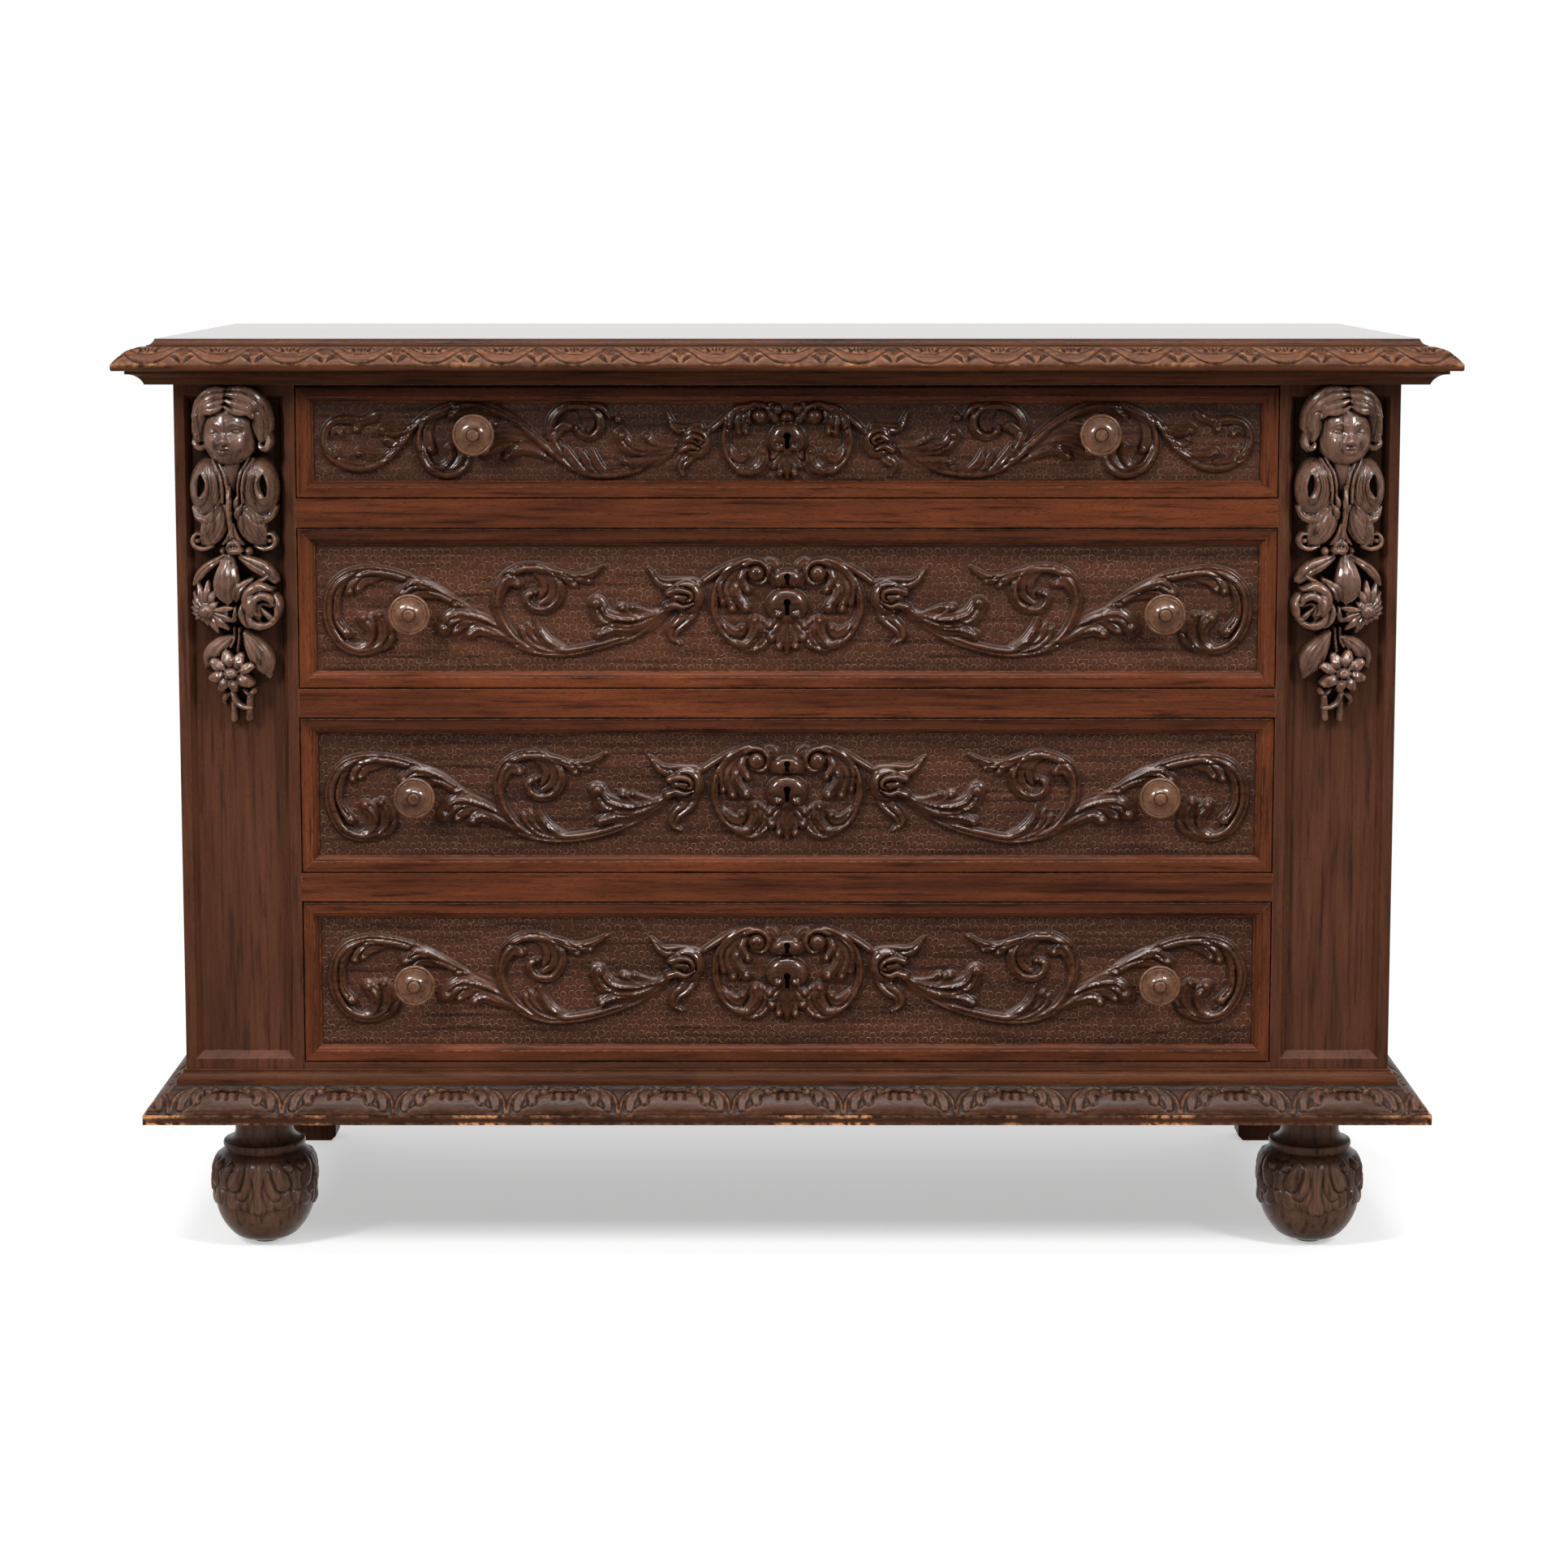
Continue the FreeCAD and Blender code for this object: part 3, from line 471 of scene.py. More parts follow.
def gridPiece(name, columns, rows):    # a flat grid of points, with each one's column and row
    bpy.ops.object.select_all(action="DESELECT")
    bpy.ops.mesh.primitive_grid_add(x_subdivisions=columns - 1, y_subdivisions=rows - 1, size=2)
    piece = named(name)
    spots = pointsOf(piece)
    column = np.rint((spots[:, 0] + 1) / 2 * (columns - 1)).astype(int)
    row = np.rint((spots[:, 1] + 1) / 2 * (rows - 1)).astype(int)
    return piece, column, row


def pointsOf(piece):
    spots = np.empty(3 * len(piece.data.vertices), np.float32)
    piece.data.vertices.foreach_get("co", spots)
    return spots.reshape(-1, 3)


def movePoints(piece, spots):
    piece.data.vertices.foreach_set("co", np.asarray(spots, np.float32).ravel())
    piece.data.update()


def mark(piece, name, values):    # a number on every point, for the finish to read
    layer = piece.data.attributes.new(name, "FLOAT", "POINT")
    layer.data.foreach_set("value", np.asarray(values, np.float32))


def meshPiece(name, spots, skins):
    mesh = bpy.data.meshes.new(name)
    mesh.from_pydata(spots, [], skins)
    piece = bpy.data.objects.new(name, mesh)
    bpy.context.scene.collection.objects.link(piece)
    return piece


def cutAway(piece, cutter):
    pick(piece)
    cut = piece.modifiers.new("cut", "BOOLEAN")
    cut.object, cut.operation, cut.solver = cutter, "DIFFERENCE", "EXACT"
    bpy.ops.object.modifier_apply(modifier=cut.name)
    bpy.data.objects.remove(cutter)


# carved fields of the drawers, with the ground punched all over in rings
fields = {
    "frameWidth": 18.5, "tuck": 1.0, "ground": 0.35, "uneven": 0.05, "sunk": 0.6, "pitch": 1.3, "gain": 1.18,
    "lift": {1: 0.0, 2: 0.0, 3: 0.0, 4: 6.0},    # ornament's middle over the field's
    "shade": (2.6, 2.2), "standing": (5.0, 0.25), "smooth": 60,
    "shadeBands": ((0.35, 6.0), (0.45, 16.0)),    # painted shade: how much and how far, along the frame and under its top
    "key": {"rise": 7.0, "radius": 4.2, "slot": 5.0, "drop": 14.5, "from": 30.0},
    "oldKey": {"rise": 36.0, "radius": 3.7, "slot": 4.6, "drop": 9.5, "from": -2.0},    # not cut through
    # keyShade: the old keyhole's inside painted dark as shade
    "keyAhead": 40.0, "keyPoints": 29, "keyShade": 1.1, "slack": 0.1,
}
rings = {
    "radius": 3.05, "ridge": 0.32, "half": 0.48, "spacing": 8.8, "rows": 0.87, "stray": 1.5, "tilt": 6.0,
    "turn": 0.9, "sizes": (0.9, 1.1), "clear": 0.5, "foot": 1.6, "segments": 11, "smooth": 35,
}


def carveScrolls(field, hand):    # the three lower drawers, left half; drawing unit 0.2276 mm
    stroke, lobe, bead = carver(field, 0.2276, (2318, 378), hand)
    # broad blades under the lobes
    stroke(((985, 552), (880, 470), (770, 432), (665, 440)), (14, 50, 66, 44), 5.2, flutes=5)
    stroke(((1740, 388), (1640, 436), (1520, 448), (1420, 420)), (14, 52, 68, 50), 5.2, flutes=5)
    stroke(((720, 360), (620, 308), (530, 285), (460, 300)), (12, 32, 42, 30), 4.8, flutes=3)
    stroke(((1260, 592), (1140, 556), (1070, 498)), (12, 44, 34), 5.0, flutes=4)
    stroke(((200, 590), (285, 562), (325, 492), (296, 436)), (14, 48, 62, 44), 5.4, flutes=4)
    # stems
    stroke(((900, 470), (1000, 552), (1110, 590), (1230, 596), (1350, 577), (1460, 545), (1568, 500),
            (1660, 440), (1735, 380)), (22, 27, 26, 25, 24, 24, 24, 20, 16), 6.2, groove=-0.25)
    stroke(((330, 575), (230, 592), (140, 558), (82, 470), (66, 370), (88, 285), (150, 222), (250, 196),
            (370, 204), (480, 240), (600, 302), (700, 358), (800, 422), (900, 492), (985, 548)),
           (14, 22, 26, 28, 28, 27, 28, 28, 27, 26, 25, 24, 23, 21, 14), 6.6, groove=0.3)
    stroke(((165, 245), (122, 300), (108, 375), (122, 445), (166, 502)), (8, 15, 17, 19, 25), 6.8, groove=0.2,
           rise=(0.6, 0.9, 1.05), root=0.0)
    bead((164, 500), 22, 7.4, gap=0.1)
    # curled leaf at the outer end
    lobe(((195, 588), (268, 560), (290, 490), (240, 428)), 38, 8.2, flutes=2)
    lobe(((258, 592), (332, 552), (354, 478), (322, 412)), 38, 8.6, flutes=2, tip=0.6)
    lobe(((300, 592), (345, 568), (372, 535), (390, 506)), 18, 6.6, tip=0.4, curl=False)
    # small lobes under the first turn
    lobe(((310, 214), (250, 225), (200, 250), (175, 298)), 26, 6.8, flutes=2)
    lobe(((352, 224), (290, 238), (245, 252), (216, 288)), 19, 6.0)
    # lobe over the knob
    lobe(((720, 362), (600, 298), (500, 264), (430, 305)), 36, 7.8, flutes=3)
    lobe(((660, 332), (590, 318), (520, 312), (470, 334)), 20, 5.6)
    # half leaf under the stem
    lobe(((930, 505), (820, 425), (745, 396), (690, 366)), 25, 6.8)
    lobe(((900, 480), (800, 405), (752, 386), (724, 370)), 16, 6.4)
    lobe(((960, 530), (830, 446), (700, 424), (626, 478)), 45, 8.2, flutes=3)
    lobe(((960, 535), (840, 475), (740, 462), (690, 494)), 22, 6.8)
    lobe(((990, 556), (890, 508), (812, 482), (764, 508)), 31, 7.4, flutes=2)
    # inner scroll
    stroke(((1045, 585), (960, 505), (912, 420), (895, 330), (925, 240), (1000, 187), (1090, 178),
            (1162, 206), (1203, 272), (1196, 338), (1148, 382), (1088, 388), (1046, 356), (1046, 315),
            (1080, 296)), (10, 20, 24, 25, 26, 25, 25, 25, 24, 23, 21, 20, 19, 17, 14), 6.8, groove=0.4)
    stroke(((1060, 195), (1125, 215), (1164, 265), (1156, 322), (1112, 356)), (8, 17, 20, 19, 14), 6.2,
           flutes=1)
    stroke(((1075, 200), (1115, 235), (1130, 280), (1108, 325)), (6, 14, 17, 12), 5.8, flutes=1)
    bead((1082, 296), 15, 7.4, gap=0.1)
    lobe(((905, 370), (918, 290), (955, 246), (1000, 258)), 28, 7.6)
    stroke(((1090, 178), (1180, 200), (1260, 226), (1340, 218), (1424, 174)), (12, 21, 21, 19, 8), 6.4,
           groove=-0.2)
    lobe(((1180, 205), (1225, 225), (1255, 245), (1277, 266)), 20, 6.2)
    lobe(((1260, 222), (1290, 235), (1320, 245), (1345, 246)), 16, 5.8)
    # fluted leaf standing on the stem
    lobe(((1190, 594), (1100, 562), (1045, 520), (1020, 480)), 24, 6.8, tip=0.45, curl=False)
    lobe(((1230, 594), (1130, 552), (1070, 505), (1048, 458)), 24, 7.2, tip=0.45, curl=False)
    lobe(((1270, 596), (1170, 562), (1108, 500), (1094, 426)), 27, 7.6, flutes=2, tip=0.35, curl=False)
    # leaf between the stem and the flower
    lobe(((1740, 385), (1640, 422), (1560, 412), (1510, 376)), 30, 6.8, flutes=2)
    lobe(((1740, 385), (1660, 410), (1600, 398), (1560, 373)), 20, 6.4)
    lobe(((1720, 400), (1560, 450), (1430, 428), (1382, 352)), 50, 8.4, flutes=3)
    lobe(((1690, 432), (1560, 478), (1470, 486), (1400, 510)), 32, 7.4, flutes=2)
    # bell flower and its sepals
    stroke(((1888, 262), (1968, 205), (2048, 165), (2128, 140)), (14, 16, 17, 18), 5.4)
    stroke(((1858, 272), (1768, 262), (1698, 248), (1640, 184)), (44, 38, 26, 6), 7.0, groove=-0.2,
           rise=(1, 0.9, 0.7))
    stroke(((1868, 340), (1826, 425), (1768, 478), (1760, 525), (1802, 556)), (40, 40, 32, 20, 5), 7.0,
           groove=0.2, rise=(1, 0.9, 0.7))
    bead((1826, 326), 86, 9.4, crown=2.6)
    stroke(((1738, 300), (1783, 288), (1836, 298), (1852, 330), (1826, 346)), (20, 19, 16, 12, 9), 11.0,
           rise=(0.8, 1, 1))
    stroke(((1733, 374), (1773, 362), (1813, 372), (1858, 350)), (24, 21, 16, 8), 10.8, rise=(0.8, 1, 0.9))
    # scroll of the cartouche, with its hanging flutes and lower leaf
    stroke(((2208, 165), (2128, 145), (2038, 188), (1976, 270), (1960, 370), (1992, 470), (2063, 545),
            (2138, 560)), (18, 20, 19, 18, 18, 20, 22, 16), 6.8, groove=0.3)
    stroke(((2048, 540), (2128, 570), (2188, 545), (2208, 490), (2180, 446)), (10, 32, 42, 44, 30), 7.4,
           flutes=4)
    lobe(((2068, 170), (2024, 220), (1996, 270), (2004, 354)), 20, 7.2, flutes=2)
    lobe(((2098, 170), (2056, 228), (2030, 285), (2050, 382)), 25, 7.2, flutes=2)
    lobe(((2113, 172), (2082, 238), (2068, 305), (2116, 378)), 30, 7.2, flutes=2)
    lobe(((2128, 180), (2105, 212), (2098, 245), (2126, 290)), 24, 7.2, flutes=2)
    stroke(((2108, 165), (2163, 148), (2213, 172), (2223, 215), (2193, 250), (2148, 245)),
           (12, 18, 18, 18, 17, 10), 7.6)
    bead((2168, 206), 42, 10.0, crown=2.6)
    lobe(((1992, 440), (2038, 490), (2080, 505), (2098, 476)), 24, 7.2)
    lobe(((2068, 570), (2128, 548), (2164, 490), (2160, 438)), 32, 8.6, flutes=2)
    # crest over the keyhole
    stroke(((2232, 170), (2254, 245), (2318, 270), (2382, 245), (2404, 170)), (18, 24, 24, 24, 18), 6.2)
    lobe(((2208, 142), (2236, 148), (2258, 168), (2268, 196)), 22, 6.6)
    bead((2318, 234), 78, 8.6, flat=0.62, crown=3.4)
    # half of the escutcheon and of the palmette
    bead((2318, 366), 104, 9.4, flat=0.84, crown=3.6, gap=0.7)
    bead((2272, 408), 27, 10.8, crown=2.2, gap=0.2)
    lobe(((2310, 430), (2288, 448), (2254, 460), (2232, 466)), 27, 6.8)
    lobe(((2310, 430), (2291, 466), (2261, 504), (2242, 526)), 28, 6.8)
    lobe(((2310, 430), (2304, 479), (2288, 538), (2278, 570)), 24, 6.8)
    stroke(((2318, 435), (2318, 520), (2318, 602)), (20, 30, 6), 7.6, flutes=2)


def carveUpperScrolls(field, hand):    # the low top drawer, left half; drawing unit 0.2334 mm
    stroke, lobe, bead = carver(field, 0.2334, (2318, 280), hand)
    # broad blades under the lobes
    stroke(((1150, 330), (1050, 270), (950, 250), (880, 270)), (20, 54, 66, 50), 5.0, flutes=5)
    stroke(((1760, 330), (1680, 350), (1600, 330), (1540, 300)), (20, 50, 60, 40), 5.0, flutes=4)
    stroke(((1460, 432), (1400, 400), (1370, 370)), (12, 40, 26), 5.0, flutes=3)
    # outer leaf and stem
    stroke(((360, 150), (290, 185), (215, 175), (150, 195), (118, 260), (150, 345), (230, 392), (320, 396),
            (410, 352), (480, 285), (545, 205), (620, 150), (720, 112), (820, 100), (920, 122), (1040, 190),
            (1150, 280), (1260, 375), (1370, 425), (1480, 432), (1590, 410), (1690, 360)),
           (14, 22, 20, 18, 18, 22, 26, 26, 24, 20, 16, 20, 24, 26, 26, 24, 22, 22, 22, 22, 20, 14), 6.4,
           groove=0.3)
    lobe(((150, 250), (165, 225), (190, 220), (195, 245)), 18, 6.0)
    lobe(((125, 290), (150, 330), (170, 345), (182, 310)), 16, 5.8, curl=False)
    lobe(((250, 175), (270, 190), (275, 205), (268, 220)), 20, 6.2)
    lobe(((300, 180), (330, 175), (355, 160), (372, 135)), 20, 6.2, tip=0.4, curl=False)
    lobe(((560, 200), (490, 225), (430, 235), (396, 220)), 30, 7.2, flutes=3)
    lobe(((500, 270), (460, 290), (430, 285), (410, 268)), 20, 6.4)
    lobe(((440, 330), (380, 345), (320, 345), (282, 330)), 28, 7.2, flutes=2)
    # scroll beside the knob
    stroke(((700, 138), (620, 170), (575, 240), (578, 320), (620, 395), (700, 428), (770, 405), (805, 352)),
           (14, 20, 22, 24, 26, 28, 26, 14), 6.8, groove=0.3)
    lobe(((640, 175), (608, 230), (612, 280), (630, 318)), 24, 7.4)
    lobe(((620, 390), (690, 395), (722, 355), (718, 308)), 24, 7.2, flutes=2)
    lobe(((680, 425), (745, 395), (775, 350), (770, 318)), 22, 6.8, flutes=2, tip=0.5)
    # lobe over the knob and half leaf under the stem
    lobe(((940, 150), (860, 118), (780, 118), (722, 155)), 28, 7.2, flutes=2)
    lobe(((1080, 250), (1010, 210), (960, 205), (925, 200)), 24, 6.8, flutes=2)
    lobe(((1120, 300), (1030, 245), (950, 235), (900, 240)), 30, 7.0, flutes=2)
    lobe(((1160, 345), (1040, 290), (950, 285), (882, 328)), 40, 8.0, flutes=3)
    lobe(((1200, 370), (1090, 320), (1030, 318), (985, 348)), 28, 7.2, flutes=2)
    # inner scroll
    stroke(((1330, 425), (1250, 345), (1205, 270), (1195, 195), (1235, 130), (1310, 105), (1385, 118),
            (1430, 165), (1428, 220), (1385, 255), (1335, 248), (1312, 212)),
           (10, 20, 22, 23, 22, 22, 23, 22, 20, 19, 17, 14), 6.8, groove=0.4)
    stroke(((1320, 120), (1372, 150), (1392, 190), (1375, 225)), (8, 17, 18, 12), 6.2, flutes=1)
    stroke(((1325, 125), (1350, 160), (1362, 195), (1352, 222)), (6, 13, 14, 10), 5.8, flutes=1)
    bead((1316, 212), 15, 7.4, gap=0.1)
    lobe(((1210, 290), (1222, 240), (1250, 210), (1282, 205)), 24, 7.2)
    stroke(((1370, 110), (1420, 108), (1455, 135), (1476, 168)), (12, 16, 15, 8), 6.0)
    bead((1512, 166), 20, 6.4)
    # fluted leaf standing on the stem
    lobe(((1400, 432), (1330, 400), (1280, 345), (1262, 300)), 22, 6.8, tip=0.4, curl=False)
    lobe(((1440, 434), (1390, 405), (1360, 365), (1348, 326)), 22, 7.2, tip=0.4, curl=False)
    lobe(((1490, 434), (1440, 410), (1405, 370), (1392, 316)), 22, 7.4, tip=0.35, curl=False)
    # leaf between the stem and the flower
    lobe(((1790, 300), (1720, 300), (1670, 280), (1650, 256)), 26, 6.8, flutes=2)
    lobe(((1770, 320), (1650, 330), (1560, 300), (1530, 248)), 38, 8.0, flutes=3)
    lobe(((1740, 345), (1650, 372), (1590, 378), (1548, 372)), 26, 7.0, flutes=2)
    # bell flower and its sepals
    stroke(((1948, 228), (1990, 195), (2040, 150)), (15, 16, 16), 5.4)
    stroke(((1900, 218), (1830, 222), (1780, 205), (1748, 136)), (34, 28, 20, 6), 7.0, groove=-0.2,
           rise=(1, 0.9, 0.7))
    stroke(((1880, 320), (1838, 362), (1812, 395), (1826, 442)), (36, 30, 22, 5), 7.0, groove=0.2,
           rise=(1, 0.9, 0.7))
    bead((1888, 280), 72, 9.2, flat=1.08, crown=2.6)
    stroke(((1838, 272), (1868, 248), (1905, 258), (1910, 280), (1880, 290)), (16, 16, 13, 10, 7), 10.8,
           rise=(0.8, 1, 1))
    stroke(((1818, 318), (1855, 302), (1900, 312)), (18, 17, 10), 10.4, rise=(0.8, 1, 0.9))
    # scroll of the cartouche, with its hanging flutes and lower leaf
    stroke(((2190, 120), (2120, 112), (2060, 140), (2030, 205), (2022, 280), (2045, 355), (2100, 415),
            (2165, 425)), (16, 18, 18, 18, 19, 21, 22, 16), 6.8, groove=0.3)
    stroke(((2080, 400), (2150, 420), (2200, 395), (2205, 340)), (10, 28, 36, 24), 7.2, flutes=3)
    lobe(((2092, 130), (2072, 145), (2060, 160), (2044, 205)), 16, 7.0, flutes=2)
    lobe(((2110, 128), (2095, 154), (2088, 180), (2090, 235)), 22, 7.0, flutes=2)
    lobe(((2130, 128), (2120, 154), (2118, 180), (2122, 232)), 20, 7.0, flutes=2)
    lobe(((2142, 130), (2136, 142), (2138, 155), (2140, 182)), 15, 7.0, flutes=2)
    stroke(((2110, 128), (2165, 98), (2218, 120), (2226, 160), (2196, 190)), (12, 16, 17, 17, 12), 7.6)
    bead((2188, 158), 36, 9.8, crown=2.6)
    lobe(((2040, 300), (2068, 345), (2098, 358), (2120, 340)), 24, 7.4)
    lobe(((2110, 425), (2170, 410), (2202, 370), (2204, 326)), 30, 8.4, flutes=2)
    # crest over the keyhole
    stroke(((2240, 100), (2262, 170), (2318, 190), (2374, 170), (2396, 100)), (16, 22, 22, 22, 16), 6.4)
    bead((2272, 126), 26, 6.8, crown=2.4)
    bead((2318, 168), 34, 8.0, crown=2.4)
    # half of the escutcheon and of the palmette
    bead((2318, 268), 86, 9.4, flat=0.94, crown=3.6, gap=0.7)
    bead((2280, 306), 22, 10.8, crown=2.2, gap=0.2)
    lobe(((2312, 335), (2295, 344), (2268, 349), (2252, 352)), 20, 6.6)
    lobe(((2312, 335), (2296, 356), (2271, 381), (2256, 395)), 22, 6.6)
    lobe(((2312, 335), (2305, 368), (2291, 409), (2282, 432)), 20, 6.6)
    stroke(((2318, 335), (2318, 400), (2318, 455)), (15, 22, 6), 7.2, flutes=2)


def tooledGround(field, seed):    # shallow unevenness of a ground levelled by hand
    x, z = np.meshgrid(field["across"], field["up"])
    waves = np.random.RandomState(seed).uniform(0.5, 1.0, (6, 3))
    swell = sum(np.sin(x * a / (7 + 4 * i) + 9 * c) * np.sin(z * b / (6 + 3 * i) + 5 * a)
                for i, (a, b, c) in enumerate(waves))
    return fields["uneven"] * swell


def carvedField(number):
    low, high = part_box(f"drawer_{number}_frame")
    inset = fields["frameWidth"] - fields["tuck"]
    size = [(high[axis] - low[axis]) / mm - 2 * inset for axis in (0, 2)]
    middle = (low.z + high.z) / 2
    draw = carveUpperScrolls if number == 1 else carveScrolls
    halves = []
    for side in (0, 1):
        half = blankField(*size, fields["pitch"], fields["lift"][number])
        draw(half, np.random.RandomState(10 * number + side))
        halves.append(half)
    field, count = halves[0], len(halves[0]["across"]) // 2
    field["height"][:, -count:] = halves[1]["height"][:, :count][:, ::-1]
    field["height"] = (field["height"] + softened(field["height"])) / 2
    shaded(field, *fields["shade"])
    field["up"] = field["up"] + fields["lift"][number]
    x, z = np.meshgrid(np.abs(field["across"]), field["up"])
    ends, top = np.minimum(size[0] / 2 - x, z + size[1] / 2), size[1] / 2 - z
    for away, (much, far) in zip((ends, top), fields["shadeBands"]):    # painted shade along the frame and under its top
        field["hollow"] += much * np.exp(-away / far)
    return field, middle, high.y


def nearest(marks, values):    # the even mark that each value is closest to
    return np.clip(np.rint((values - marks[0]) / (marks[1] - marks[0])), 0, len(marks) - 1).astype(int)


def keyCutter(holes, middle, face):    # keyhole-shaped rods, from before the field to their depth
    spots, skins = [], []
    for hole in holes:
        turn = math.asin(hole["slot"] / 2 / hole["radius"])
        turns = np.linspace(turn - math.pi / 2, 1.5 * math.pi - turn, fields["keyPoints"])
        x = np.append(hole["radius"] * np.cos(turns), [-hole["slot"] / 2, hole["slot"] / 2])
        z = np.append(hole["radius"] * np.sin(turns), [-hole["drop"]] * 2) + middle + hole["rise"]
        first, count = len(spots), len(x)
        for deep in (face - fields["keyAhead"], face + hole["from"]):
            spots += [(a * mm, deep * mm, b * mm) for a, b in zip(x, z)]
        last = first + count
        skins += [tuple(range(first, last)), tuple(range(last + count - 1, last - 1, -1))]
        for i in range(count):
            following = (i + 1) % count
            skins.append((first + i, last + i, last + following, first + following))
    return meshPiece("keyhole", spots, skins)


def fieldPiece(number, field, middle, face):
    piece, column, row = gridPiece(f"drawer_{number}_relief", len(field["across"]), len(field["up"]))
    ground = fields["ground"] + tooledGround(field, number)
    top = np.maximum(field["height"] * fields["gain"], 0) + ground
    movePoints(piece, np.column_stack([field["across"][column] * mm, face - top[row, column] * mm,
                                       middle + field["up"][row] * mm]))
    bpy.ops.object.mode_set(mode="EDIT")
    bpy.ops.mesh.select_mode(type="EDGE")
    bpy.ops.mesh.select_all(action="DESELECT")
    bpy.ops.mesh.select_non_manifold()
    bpy.ops.mesh.extrude_edges_move()
    bpy.ops.transform.resize(value=(1, 0, 1), center_override=(0, face + fields["sunk"] * mm, 0))
    bpy.ops.mesh.edge_face_add()
    bpy.ops.object.mode_set(mode="OBJECT")
    old = dict(fields["oldKey"], rise=fields["oldKey"]["rise"] + fields["lift"][number])
    cutAway(piece, keyCutter((fields["key"], old)[:1 if number == 1 else 2], middle / mm, face / mm))
    pick(piece)
    bpy.ops.object.shade_smooth_by_angle(angle=math.radians(fields["smooth"]))
    x, y, z = (pointsOf(piece) / mm - (0, face / mm, middle / mm)).T
    reach, start = fields["standing"]
    mark(piece, "relief", np.clip(-y / reach - start, 0, 1))
    column, row = nearest(field["across"], x), nearest(field["up"], z)
    slack = fields["slack"]
    # inside the old keyhole the colour is darkened: painted shade in the recess
    inHole = ((np.abs(x) < old["radius"] + slack) & (y > old["from"] - slack)
              & (np.abs(z - old["rise"]) < old["drop"] + slack) & (number > 1))
    mark(piece, "hollow", np.where(inHole, fields["keyShade"], field["hollow"][row, column]))
    mark(piece, "crest", np.where(inHole, 0.0, field["crest"][row, column]))
    return piece


def ringShape():    # one punched ring: a low ridge of three-sided section, facing the front
    count = rings["segments"]
    bpy.ops.object.select_all(action="DESELECT")
    bpy.ops.mesh.primitive_torus_add(major_segments=count, minor_segments=3)
    shape = named("ring")
    turn = np.repeat(np.arange(count) * 2 * math.pi / count, 3)
    reach = rings["radius"] + rings["half"] * np.tile([1, 0, -1], count)
    out = rings["ridge"] * np.tile([-rings["foot"], 1, -rings["foot"]], count)
    spots = np.column_stack([reach * np.cos(turn), reach * np.sin(turn), out])
    faces = [tuple(face.vertices) for face in shape.data.polygons]
    bpy.data.objects.remove(shape)
    return spots, faces


def ringPiece(number, field, middle, face):
    hand = np.random.RandomState(70 + number)
    shape, faces = ringShape()
    edge, step = fields["tuck"] + rings["radius"] + rings["half"], rings["spacing"]
    first = np.array([field["across"][0], field["up"][0]]) + edge
    last = np.array([field["across"][-1], field["up"][-1]]) - edge
    slope = math.tan(math.radians(rings["tilt"]))
    spots, skins = [], []
    for line, z in enumerate(np.arange(first[1], last[1], step * rings["rows"])):
        for x in np.arange(first[0] + step / 2 * (line % 2), last[0], step):
            here = np.clip(np.array([x, z]) + hand.uniform(-1, 1, 2) * rings["stray"], first, last)
            way, size = hand.normal(math.pi / 2, rings["turn"]), hand.uniform(*rings["sizes"])
            row, column = np.searchsorted(field["up"], here[1]), np.searchsorted(field["across"], here[0])
            if field["height"][row, column] > rings["clear"]:    # no ring under the carving
                continue
            ring = shape * (size, size, 1)
            lean = slope * (ring[:, 0] * math.cos(way) + ring[:, 1] * math.sin(way))
            skins += [tuple(point + len(spots) * len(shape) for point in skin) for skin in faces]
            spots.append(np.column_stack([(here[0] + ring[:, 0]) * mm,
                                          face - (ring[:, 2] + fields["ground"] + lean) * mm,
                                          middle + (here[1] + ring[:, 1]) * mm]))
    piece = meshPiece(f"drawer_{number}_rings", np.vstack(spots), skins)
    pick(piece)
    bpy.ops.object.mode_set(mode="EDIT")
    bpy.ops.mesh.select_all(action="SELECT")
    bpy.ops.mesh.normals_make_consistent(inside=False)
    bpy.ops.object.mode_set(mode="OBJECT")
    bpy.ops.object.shade_smooth_by_angle(angle=math.radians(rings["smooth"]))
    return piece


reliefFinish = walnut("carved drawer field", "walnut_drawer", carved=True, ornament="walnut_carved")
# the rings take a pale tone as a painted highlight
ringFinish = walnut("punched rings", "walnut_ring_worn_and_highlight", carved=True)
for number in (1, 2, 3, 4):
    field, middle, face = carvedField(number)
    relief = fieldPiece(number, field, middle, face)
    dress(relief, reliefFinish)
    punch = ringPiece(number, field, middle, face)
    dress(punch, ringFinish)
    for piece in (relief, punch):
        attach(piece, f"drawer_{number}")
    print("drawer", number, "carved:", len(relief.data.polygons), "faces,", len(punch.data.polygons),
          "in the rings")


# carved mouldings: an outline swept round the left side, the front and the right side, cut by gouges
def bowed(start, end, bulge, pitch):    # points after start on an arc to end; bulge is how far it stands out
    (x0, z0), (x1, z1) = start, end
    chord = math.hypot(x1 - x0, z1 - z0)
    count = max(1, int(math.ceil(chord / pitch)))
    share = np.arange(1, count + 1) / count
    out = 4 * bulge * share * (1 - share)
    return [(x0 + (x1 - x0) * s + o * (z0 - z1) / chord, z0 + (z1 - z0) * s + o * (x1 - x0) / chord)
            for s, o in zip(share, out)]


def outlineFrom(start, steps, pitch):    # steps: (end, bulge); gives the points and each one's step
    spots, owner = [start], [0]
    for index, (end, bulge) in enumerate(steps):
        fine = bowed(spots[-1], end, bulge, pitch)
        spots += fine
        owner += [index] * len(fine)
    return np.array(spots, float), np.array(owner)


